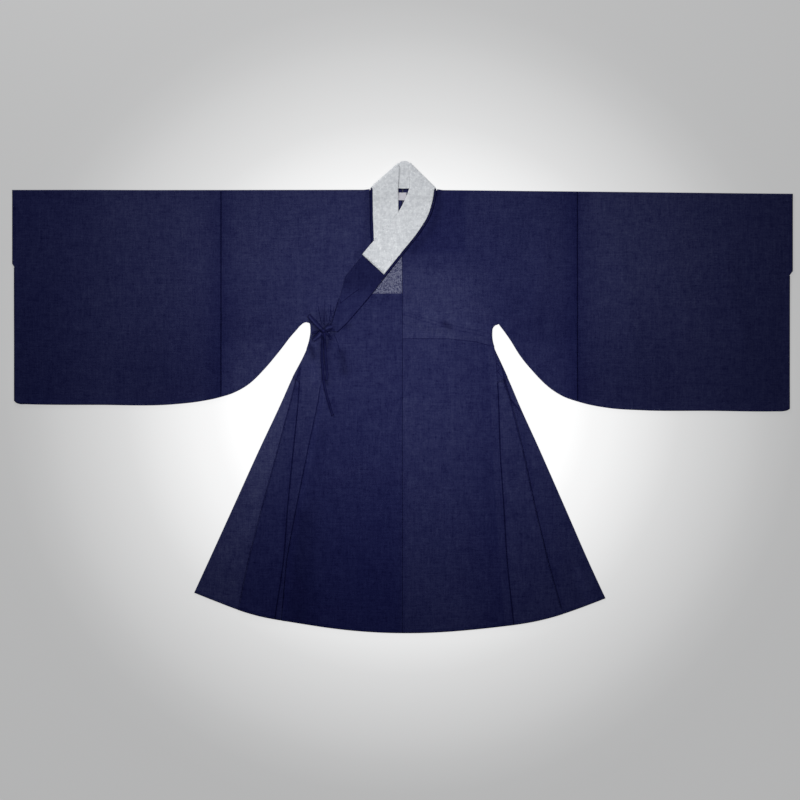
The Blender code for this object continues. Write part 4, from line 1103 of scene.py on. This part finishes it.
def overlap_outer_flat():
    """Panel sewn to the wearer's left front at the centre, crossing to the right under the collar's end."""
    beside_collar = np.linspace(OVERLAP_OUTER_TOP_Y, COLLAR_TIP_Y + TIP_ROW_GAP, BESIDE_COLLAR_ROWS)
    below = np.linspace(COLLAR_TIP_Y, GORE_TOP_Y, BELOW_COLLAR_ROWS)[1:-1]
    rows = np.concatenate([beside_collar, [COLLAR_TIP_Y - TIP_ROW_GAP], below])
    outer = np.where(rows > COLLAR_TIP_Y, -sewn_x(COLLAR_OUTER, rows) - SEAM_GAP,
                     line_out("right", "overlap_edge", rows))
    out = outer[:, None] + (SEAM_GAP / 2 - outer)[:, None] * ACROSS[None, :]
    head = np.dstack([-out, np.tile(rows[:, None], (1, len(ACROSS)))])
    lines = skirt_rows("right", lambda y: line_out("right", "overlap_edge", y), ACROSS, DOWN)
    return np.concatenate([head, lines])


def band_grid(rows, margins=(0.0, 0.0), neck_out=0.0):
    """Collar stretch from neck to sewn side, drawn in there by a margin at the fold and another beyond."""
    table = collar_rows(rows)
    neck, sewn = table[:, :2].copy(), table[:, 2:].copy()
    across = (sewn - neck) / np.linalg.norm(sewn - neck, axis=1)[:, None]
    place = np.arange(len(table)) / COLLAR_SPREAD
    sewn -= across * np.interp(place, (0, 1), margins)[:, None]
    neck -= across * neck_out
    return neck[:, None, :] + (sewn - neck)[:, None, :] * COLLAR_STEPS[None, :, None]


def back_band_grid(margins=(0.0, 0.0), neck_out=0.0):
    """The collar behind the neck, between its two slanted folds and rounded up in the middle."""
    ends = [band_grid(rows, margins, neck_out)[0] for rows in (COLLAR_INNER, COLLAR_OUTER)]
    steps = np.linspace(0, 1, BACK_BAND_ROWS)[:, None, None]
    grid = ends[0][None] + (ends[1] - ends[0])[None] * steps
    crown = (1 - np.abs(2 * steps[..., 0] - 1) ** 3) * (1 - COLLAR_STEPS[None, :]) ** 2
    grid[..., 1] += COLLAR_CROWN * crown
    return grid


def slanted_fold(front, back_edge, hint):
    return fold_strip(front[0], back_edge, edge_ways(front[0], hint))


def cover_lip(sheet, drop):
    """The cover's neck edge, turned down over the collar."""
    across = sheet[:, 0, :2] - sheet[:, 1, :2]
    across /= np.linalg.norm(across, axis=1)[:, None]
    strip = []
    for turn in np.linspace(math.pi / 2, 0, COVER_LIP_STEPS):
        flat = sheet[:, 0, :2] + across * (COVER_LIP_OUT - COVER_NECK_OUT) * math.sin(turn)
        strip.append(np.column_stack([flat, sheet[:, 0, 2] - drop * (1 - math.cos(turn))]))
    return np.stack(strip, axis=1)


def plane_distance(sheet, column):
    """Distance in the plane from each point to the first or last of its row, 0 or -1."""
    return np.linalg.norm(sheet[..., :2] - sheet[:, column, :2][:, None], axis=-1)


def band_values(name, sheet):
    """Along the collar's sewn edge a dark line shows, its stitching with painted shade beside it. The collar
    is darkest near the end of its cover.
    """
    tone, keep = TONE_COLLAR_INNER, COLLAR_KEEP
    if name == "band_outer":
        y = sheet[..., 1]
        lighter = 1 - smoothstep(*COLLAR_TONE_Y, y)
        tone = TONE_COLLAR_DARK + (TONE_COLLAR_LOW - TONE_COLLAR_DARK) * lighter
        keep = 1 - (1 - COLLAR_KEEP) * smoothstep(*COLLAR_KEEP_Y, y)
    return {"tone": TONE_BODY * tone, "keep": keep, "seam": plane_distance(sheet, -1),
            "hem": plane_distance(sheet, 0) + COLLAR_NO_HEM, "mark": signed_shade_lines(sheet)}


def unit(vectors):
    return vectors / np.linalg.norm(vectors, axis=1)[:, None]


def tie_tube(route, across, width=TIE_WIDTH, thickness=TIE_THICKNESS):
    """Flattened tube of cloth along a route, its width along the across vectors."""
    across = unit(np.broadcast_to(np.asarray(across, float), route.shape))
    normal = unit(np.cross(np.gradient(route, axis=0), across))
    rings = []
    for turn in np.linspace(0, 2 * math.pi, TUBE_STEPS):
        wide = math.copysign(abs(math.cos(turn)) ** 0.6, math.cos(turn)) * width / 2
        high = math.copysign(abs(math.sin(turn)) ** 0.8, math.sin(turn)) * thickness / 2
        rings.append(route + across * wide + normal * high)
    return np.stack(rings, axis=1)


def tie_values(tube):
    """A tie is darkest along its two edges."""
    centre = tube.mean(axis=1, keepdims=True)
    apart = np.linalg.norm(tube[..., :2] - centre[..., :2], axis=-1)
    inside = np.maximum(apart.max(axis=1, keepdims=True) - apart, 0.0)
    return {"tone": TIE_TONE, "seam": TIE_EDGE_SHARE * inside}


def laid_tie(field, points, count, width=TIE_WIDTH):
    """A tie's route on top of the cloth laid so far, and its tube."""
    flat = smooth_route(points, count)
    height = read_map(field, flat[:, 0], flat[:, 1]) + CLEARANCE + TIE_THICKNESS / 2
    route = np.column_stack([flat, height])
    tangent = np.gradient(flat, axis=0)
    across = np.column_stack([-tangent[:, 1], tangent[:, 0], np.zeros(count)])
    return route, tie_tube(route, across, width)


def route_length(route):
    return float(np.linalg.norm(np.diff(route, axis=0), axis=1).sum())


def all_creases(sheet):
    return 1.0


def fewer_creases(sheet):
    """Share of the creases on the inner front: less where the outer overlap lies on it."""
    x, y = sheet[..., 0], sheet[..., 1]
    edge = np.where(y > COLLAR_TIP_Y, -sewn_x(COLLAR_OUTER, y), line_out("right", "overlap_edge", y))
    covered = (-x < edge) | (-x < UNDER_OVERLAP_OUT)
    return np.where(covered & (y < UNDER_OVERLAP_TOP_Y), UNDER_OVERLAP_RELIEF, 1.0)


# Everything that rests on the surface
backs, sleeves = {}, {}
for side in SIGN:
    flat, closed = sleeve_flat(side)
    back = lay(LEVEL, sleeve_flat(side, BACK_SEAM_SHIFT)[0], relief=BACK_RELIEF)
    sleeves[side] = (flat, closed, back)
    flats = (back_body_flat(side), root_flat(side, BACK_SEAM_SHIFT))
    backs[side] = [lay(LEVEL, flat, relief=BACK_RELIEF) for flat in flats]
    for sheet in (back, *backs[side]):
        ground.add(sheet)
back_gores = {}
for side in SIGN:
    across = shares(BACK_GORE_COLUMNS)
    flat = skirt_rows(side, lambda y: line_out(side, "outline", y), across, DOWN,
                      lambda y: line_out(side, "back_seam", y) + SEAM_GAP / 2,
                      STEP_TOP_Y + (GORE_TOP_Y - STEP_TOP_Y) * across - SEAM_GAP)
    back_gores[side] = lay(LEVEL, flat, relief=BACK_RELIEF)
    ground.add(back_gores[side])
back_field = ground.soft()

sleeve_pieces = {side: build_sleeve(side, back_field, *sleeves[side]) for side in SIGN}

# The collar behind the neck: cover, band, then the cover again on the band's inner face
RIPPLE_HEIGHT = 0.0009
RIPPLE_Y = (0.612, 0.69)
RIPPLE_FADE = 0.02
RIPPLE_WAVES, RIPPLE_BEND, BEND_WAVES = 560, 2.4, 70
margins = (COVER_FOLD_MARGIN, COVER_MARGIN)
laid = {"cover_back": lay(LEVEL, back_band_grid(margins, COVER_NECK_OUT), wall=COVER_WALL)}
level = COVER_WALL + CLEARANCE + BAND_WALL / 2
laid["band_back"] = np.dstack([back_band_grid(), np.full((BACK_BAND_ROWS, COLLAR_ACROSS), level)])
level += BAND_WALL / 2 + CLEARANCE + COVER_WALL / 2
inside_flat = back_band_grid(margins, COVER_NECK_OUT)
x, y = inside_flat[..., 0], inside_flat[..., 1]
ripple = RIPPLE_HEIGHT * (1 + np.sin(RIPPLE_WAVES * x + RIPPLE_BEND * np.sin(BEND_WAVES * y)))
ripple *= smoothstep(0.0, RIPPLE_FADE, y - RIPPLE_Y[0]) * smoothstep(0.0, RIPPLE_FADE, RIPPLE_Y[1] - y)
laid["cover_inside"] = np.dstack([inside_flat, level + ripple])
for name, wall in (("cover_back", COVER_WALL), ("band_back", BAND_WALL), ("cover_inside", COVER_WALL)):
    ground.add(laid[name], wall)

# Pleats and label
pleats = {}
for side in SIGN:
    lower, middle, upper = pleat_grids(side)
    lower = lay(back_field, lower, relief=PLEAT_RELIEF)
    ground.add(lower)
    middle = lay(ground.soft(), middle)
    ground.add(middle)
    pleats[side] = [lower, middle, upper]
LABEL_LOW = (-0.0133, 0.581)
LABEL_HIGH = (0.0118, 0.6037)
label_x = LABEL_LOW[0] + (LABEL_HIGH[0] - LABEL_LOW[0]) * shares(LABEL_ROWS, (0.0, 0.04))
label_y = LABEL_LOW[1] + (LABEL_HIGH[1] - LABEL_LOW[1]) * shares(LABEL_ROWS, (0.0, 0.04))
label_sheet = lay(back_field, np.dstack(np.meshgrid(label_x, label_y)))
ground.add(label_sheet)

# Wearer's right front with everything at its height
field = ground.soft()
body_right, fronts = build_body("right", field, backs["right"], fewer_creases)
inner_overlap = lay(field, overlap_inner_flat())
laid["band_inner"] = lay(field, band_grid(COLLAR_INNER), wall=BAND_WALL)
pleats["right"][2] = lay(field, pleats["right"][2], relief=PLEAT_RELIEF)
inner_ties = {name: laid_tie(field, points, INNER_TIE_STEPS, INNER_TIE_WIDTH)[1]
              for name, points in INNER_TIES.items()}
for sheet in (*fronts, inner_overlap, pleats["right"][2], *inner_ties.values()):
    ground.add(sheet)
ground.add(laid["band_inner"], BAND_WALL)
flat = band_grid(COLLAR_INNER[:COVER_INNER_ROWS], margins, COVER_NECK_OUT)
laid["cover_inner"] = lay(ground.soft(), flat, wall=COVER_WALL)
ground.add(laid["cover_inner"], COVER_WALL)

# Wearer's left front with everything at its height
field = ground.soft()
body_left, fronts = build_body("left", field, backs["left"], all_creases)
outer_overlap = lay(field, overlap_outer_flat(), relief=1.0)
laid["band_outer"] = lay(field, band_grid(COLLAR_OUTER), relief=BAND_RELIEF, wall=BAND_WALL)
pleats["left"][2] = lay(field, pleats["left"][2], relief=PLEAT_RELIEF)
for sheet in (*fronts, outer_overlap, pleats["left"][2]):
    ground.add(sheet)
ground.add(laid["band_outer"], BAND_WALL)
flat = band_grid(COLLAR_OUTER[:COVER_OUTER_ROWS], margins, COVER_NECK_OUT)
laid["cover_outer"] = lay(ground.soft(), flat, wall=COVER_WALL)
ground.add(laid["cover_outer"], COVER_WALL)

# Cut sizes of the cloth
BODY_CUT = {"right": (0.534, 2.6), "left": (0.515, 2.6)}
BODY_AREA = {"right": 1.03, "left": 1.0}
SLEEVE_CUT = {"right": (0.615, 1.27), "left": (0.634, 1.3)}
OVERLAP_OUTER_CUT = (0.36, 1.07)
OVERLAP_INNER_CUT = (0.3, 0.87)
GORE_CUT = (0.62, 0.66)
BACK_GORE_CUT = (0.22, 0.66)

for side, piece in (("right", body_right), ("left", body_left)):
    area = BODY_AREA[side]
    piece.build("robe_cloth", [f"body_{side}"], BODY_CUT[side], "folded", [], area=area)
    sleeve_pieces[side].build("robe_cloth", [f"sleeve_{side}"], SLEEVE_CUT[side], "folded", [])
    gore = build_gore(side, *pleats[side])
    gore.build("robe_cloth", [f"gore_front_{side}"], GORE_CUT, "folded", [f"gore_back_{side}"], area=0.2)
    gore = Piece(f"cloth_gore_back_{side}", ramie)
    sheet = back_gores[side]
    gore.add(sheet, tone=TONE_BODY, hem=hem_of(sheet), seam=from_column(sheet, -1))
    gore.build("robe_cloth", [f"gore_back_{side}"], BACK_GORE_CUT, "laid", [], area=0.075)

piece = Piece("cloth_overlap_inner", ramie)
piece.add(inner_overlap, tone=TONE_BODY, hem=hem_of(inner_overlap), seam=from_column(inner_overlap, -1))
piece.build("robe_cloth", ["overlap_inner"], OVERLAP_INNER_CUT, "laid", ["body_left"])
piece = Piece("cloth_overlap_outer", ramie)
x, y = outer_overlap[..., 0], outer_overlap[..., 1]
lapel = from_column(outer_overlap, 0)
beside_collar = np.where(y > COLLAR_TIP_Y, lapel, 1.0)
piece.add(outer_overlap, tone=TONE_BODY * OUTER_OVERLAP_TONE * skirt_tone(outer_overlap),
          keep=shadow_tone(outer_overlap), hem=np.minimum(hem_of(outer_overlap), lapel),
          seam=np.minimum(beside_collar, np.abs(x) + CENTRE_SEAM_SET_IN),
          veil=np.minimum(VEIL_RIGHT_X - x, y - VEIL_BOTTOM_Y), mark=signed_shade_lines(outer_overlap))
piece.build("robe_cloth", ["overlap_outer"], OVERLAP_OUTER_CUT, "laid", ["body_right"])

COLLAR_FOLDS = (("inner", 0, (-1.0, 1.0)), ("outer", -1, (1.0, 1.0)))
piece = Piece("cloth_collar_band", band_cloth, BAND_WALL)
for name in ("band_inner", "band_back", "band_outer"):
    piece.add(laid[name], **band_values(name, laid[name]))
for part, place, hint in COLLAR_FOLDS:
    fold = slanted_fold(laid[f"band_{part}"], laid["band_back"][place], hint)
    piece.add(fold, tone=TONE_BODY * TONE_COLLAR_DARK)
fronts = ["body_left", "body_right"]
piece.build("collar_cloth", ["collar_band"], (0.115, 1.25), "folded", fronts, area=0.094)

piece = Piece("cloth_collar_cover", white, COVER_WALL)
for name in ("cover_inner", "cover_back", "cover_outer", "cover_inside"):
    piece.add(laid[name], seam=plane_distance(laid[name], -1))
for part, place, hint in COLLAR_FOLDS:
    sheet = laid[f"cover_{part}"]
    piece.add(slanted_fold(sheet, laid["cover_back"][place], hint))
    piece.add(cover_lip(sheet[1:], BAND_WALL))
ways = [(0.0, 1.0)] * BACK_BAND_ROWS
piece.add(fold_strip(laid["cover_inside"][:, 0], laid["cover_back"][:, 0], ways))
piece.build("cover_cloth", ["collar_cover"], (0.13, 0.8), "folded", ["collar_band"], area=0.073)

piece = Piece("cloth_label", label_cloth)
piece.add(label_sheet)
piece.build("label_cloth", ["neck_label"], (0.026, 0.023), "laid", fronts)

for name, sheet in inner_ties.items():
    piece = Piece(f"inner_tie_{name}", tie_cloth, TIE_WALL)
    piece.add(sheet, tone=TONE_BODY)
    piece.build("tie_cloth", [f"tie_inner_{name}"], (0.02, 0.13), "laid", [])

# The bow at the armpit
KNOT_AT = (-0.2326, 0.1958)
TIE_CUT_WIDTH = 0.016
TIE_ROUTES = {
    "tie_stub_collar": (((-0.1995, 0.199), (-0.21, 0.198), (-0.2257, 0.196)), 14, "tie_collar"),
    "tie_stub_side": (((-0.266, 0.189), (-0.256, 0.1915), (-0.2394, 0.1952)), 16, "tie_side"),
    "tie_short_end": (((-0.2265, 0.192), (-0.216, 0.183), (-0.209, 0.171)), 16, "tie_end"),
    "tie_long_tail": (((-0.2345, 0.1898), (-0.2371, 0.1178), (-0.2312, 0.0448), (-0.2224, 0.0053),
                       (-0.2055, -0.053)), 70, "tie_tail_long"),
    "tie_second_tail": (((-0.229, 0.1898), (-0.2262, 0.1178), (-0.2218, 0.0736), (-0.2235, 0.05)), 50,
                        "tie_tail_short"),
}
LOOP_WIDTH = 0.0118
LOOPS = {
    "bow_loop_upper": ((-0.2375, 0.2012), (-0.2735, 0.2385), "tie_loop_upper", 0.0034),
    "bow_loop_lower": ((-0.239, 0.1905), (-0.26, 0.17), "tie_loop_lower", 0.0028),
    "bow_loop_small": ((-0.2262, 0.2), (-0.208, 0.208), "tie_loop_small", 0.0026),
}

LEG_STEPS = 14
TURN_STEPS = 9
LEG_BOW_BELOW = 0.0012
LEG_BOW_ABOVE = 0.0016
LEG_RISE = 0.0012

for name, (points, count, replaced) in TIE_ROUTES.items():
    route, tube = laid_tie(ground.soft(3, 1), points, count)
    ground.add(tube, TIE_WALL)
    piece = Piece(name, tie_cloth, TIE_WALL)
    piece.add(tube, **tie_values(tube))
    piece.build("tie_cloth", [replaced], (TIE_CUT_WIDTH, route_length(route)), "laid", ["overlap_outer"])

for name, (root, tip, replaced, rise) in LOOPS.items():
    root, tip = np.array(root), np.array(tip)
    way = (tip - root) / np.linalg.norm(tip - root)
    side_way = np.array([-way[1], way[0]])
    steps = np.linspace(0, 1, LEG_STEPS)[:, None]
    bow = np.sin(math.pi * steps)
    out_leg = root + (tip - root) * steps - side_way * LEG_BOW_BELOW * bow
    base = read_map(ground.soft(3, 1), *out_leg.T).max() + CLEARANCE + TIE_THICKNESS / 2
    lower = np.column_stack([out_leg, np.full(LEG_STEPS, base)])
    turns = np.linspace(0, math.pi, TURN_STEPS)[1:-1, None]
    bend = np.column_stack([tip + way * rise / 2 * np.sin(turns), base + rise / 2 * (1 - np.cos(turns))])
    back_leg = tip + (root - tip) * steps + side_way * LEG_BOW_ABOVE * bow
    upper = np.column_stack([back_leg, base + rise + LEG_RISE * bow])
    route = np.concatenate([lower, bend, upper])
    tube = tie_tube(route, (*side_way, 0.0), LOOP_WIDTH)
    ground.add(tube[:LEG_STEPS], TIE_WALL)
    piece = Piece(name, tie_cloth, TIE_WALL)
    piece.add(tube, **tie_values(tube))
    piece.build("tie_cloth", [replaced], (TIE_CUT_WIDTH, route_length(route)), "folded", ["overlap_outer"])

# The knot, two turns of the tie wrapped over each other: angle, reach, height
KNOT_TURNS = ((0.65, 0.0062, 0.0044), (-0.75, 0.007, 0.0056))
KNOT_SIZE = (0.0085, 0.002)
KNOT_SINK = 0.0035
KNOT_START = 0.0008
knot = Piece("bow_knot", tie_cloth, TIE_WALL)
knot_length = 0.0
base = read_map(ground.soft(1, 1), *np.array(KNOT_AT)[:, None])[0] - KNOT_SINK
for angle, reach, height in KNOT_TURNS:
    way = np.array([math.cos(angle), math.sin(angle)])
    turns = np.linspace(0, math.pi, KNOT_STEPS)[:, None]
    rise = base + KNOT_START + height * np.sin(turns)
    route = np.column_stack([KNOT_AT + way * reach * np.cos(turns), rise])
    tube = tie_tube(route, (-way[1], way[0], 0.0), *KNOT_SIZE)
    knot_length += route_length(route)
    knot.add(tube, **tie_values(tube))
knot.build("tie_cloth", ["tie_knot"], (0.02, knot_length), "folded", ["overlap_outer"])

# Floor, lights and camera
CAMERA_AT = (-0.00736, -0.00703, 5.563)
FLOOR_Z = -0.0012
FLOOR_ALBEDO = 0.16
FLOOR_REACH = 2.0
FLOOR_HALF = 6
# Painted light: the floor's own glow at distances from the middle, a painted pool of studio light that fades
# outwards over the plain paper
FLOOR_PAINTED_LIGHT = (
    (0.0, 0.84), (0.5, 0.9), (0.56, 0.83), (0.62, 0.8), (0.73, 0.71), (0.82, 0.62), (0.9, 0.575),
    (1.0, 0.52), (1.08, 0.467), (1.17, 0.427), (1.25, 0.418), (1.6, 0.422),
)
WORLD_COLOUR = (0.7, 0.82, 1.0, 1.0)
WORLD_STRENGTH = 0.08


def floor_material():
    """Pale paper floor that glows with a painted pool of light, brightest in the middle."""
    material, tree, shader = new_material("paper", 0.9, 0.0, 0.0)
    shader.inputs["Base Color"].default_value = (FLOOR_ALBEDO, FLOOR_ALBEDO, FLOOR_ALBEDO, 1.0)
    apart = tree.nodes.new("ShaderNodeVectorMath")
    apart.operation = "LENGTH"
    tree.links.new(tree.nodes["place"].outputs["Object"], apart.inputs[0])
    glow = tree.nodes.new("ShaderNodeValToRGB")
    stops = glow.color_ramp.elements
    while len(stops) < len(FLOOR_PAINTED_LIGHT):
        stops.new(0.5)
    for stop, (reach, amount) in zip(stops, FLOOR_PAINTED_LIGHT):
        stop.position = reach / FLOOR_REACH
        stop.color = (amount, amount, amount, 1.0)
    tree.links.new(math_node(tree, "MULTIPLY", apart.outputs["Value"], 1 / FLOOR_REACH), glow.inputs[0])
    tree.links.new(glow.outputs["Color"], shader.inputs["Emission Color"])
    shader.inputs["Emission Strength"].default_value = 1.0
    return material


def area_light(name, place, aim, size, power):
    data = bpy.data.lights.new(name, "AREA")
    data.size = size
    data.energy = power
    light = bpy.data.objects.new(name, data)
    light.location = place
    direction = Vector(aim) - Vector(place)
    light.rotation_euler = direction.to_track_quat("-Z", "Y").to_euler()
    light.visible_camera = False
    bpy.context.scene.collection.objects.link(light)


floor_mesh = bpy.data.meshes.new("floor")
corners = [(x * FLOOR_HALF, y * FLOOR_HALF, FLOOR_Z) for x, y in ((-1, -1), (1, -1), (1, 1), (-1, 1))]
floor_mesh.from_pydata(corners, [], [(0, 1, 2, 3)])
floor_mesh.materials.append(floor_material())
floor = bpy.data.objects.new("floor", floor_mesh)
bpy.context.scene.collection.objects.link(floor)

area_light("top_light", place=(0.0, 0.12, 0.92), aim=(0.0, 0.12, 0.0), size=0.7, power=8.0)
area_light("raking_light", place=(-0.9, 3.2, 1.3), aim=(0.0, 0.0, 0.0), size=1.0, power=60.0)

world = bpy.data.worlds.new("studio")
world.use_nodes = True
background = world.node_tree.nodes["Background"]
background.inputs["Color"].default_value = WORLD_COLOUR
background.inputs["Strength"].default_value = WORLD_STRENGTH
bpy.context.scene.world = world

camera_data = bpy.data.cameras.new("camera")
camera_data.lens = 85.0
camera_data.sensor_width = 36.0
camera = bpy.data.objects.new("camera", camera_data)
camera.location = CAMERA_AT
camera.rotation_euler = (0.0, 0.0, 0.0)
bpy.context.scene.collection.objects.link(camera)
bpy.context.scene.camera = camera
bpy.context.scene.view_settings.view_transform = "Standard"
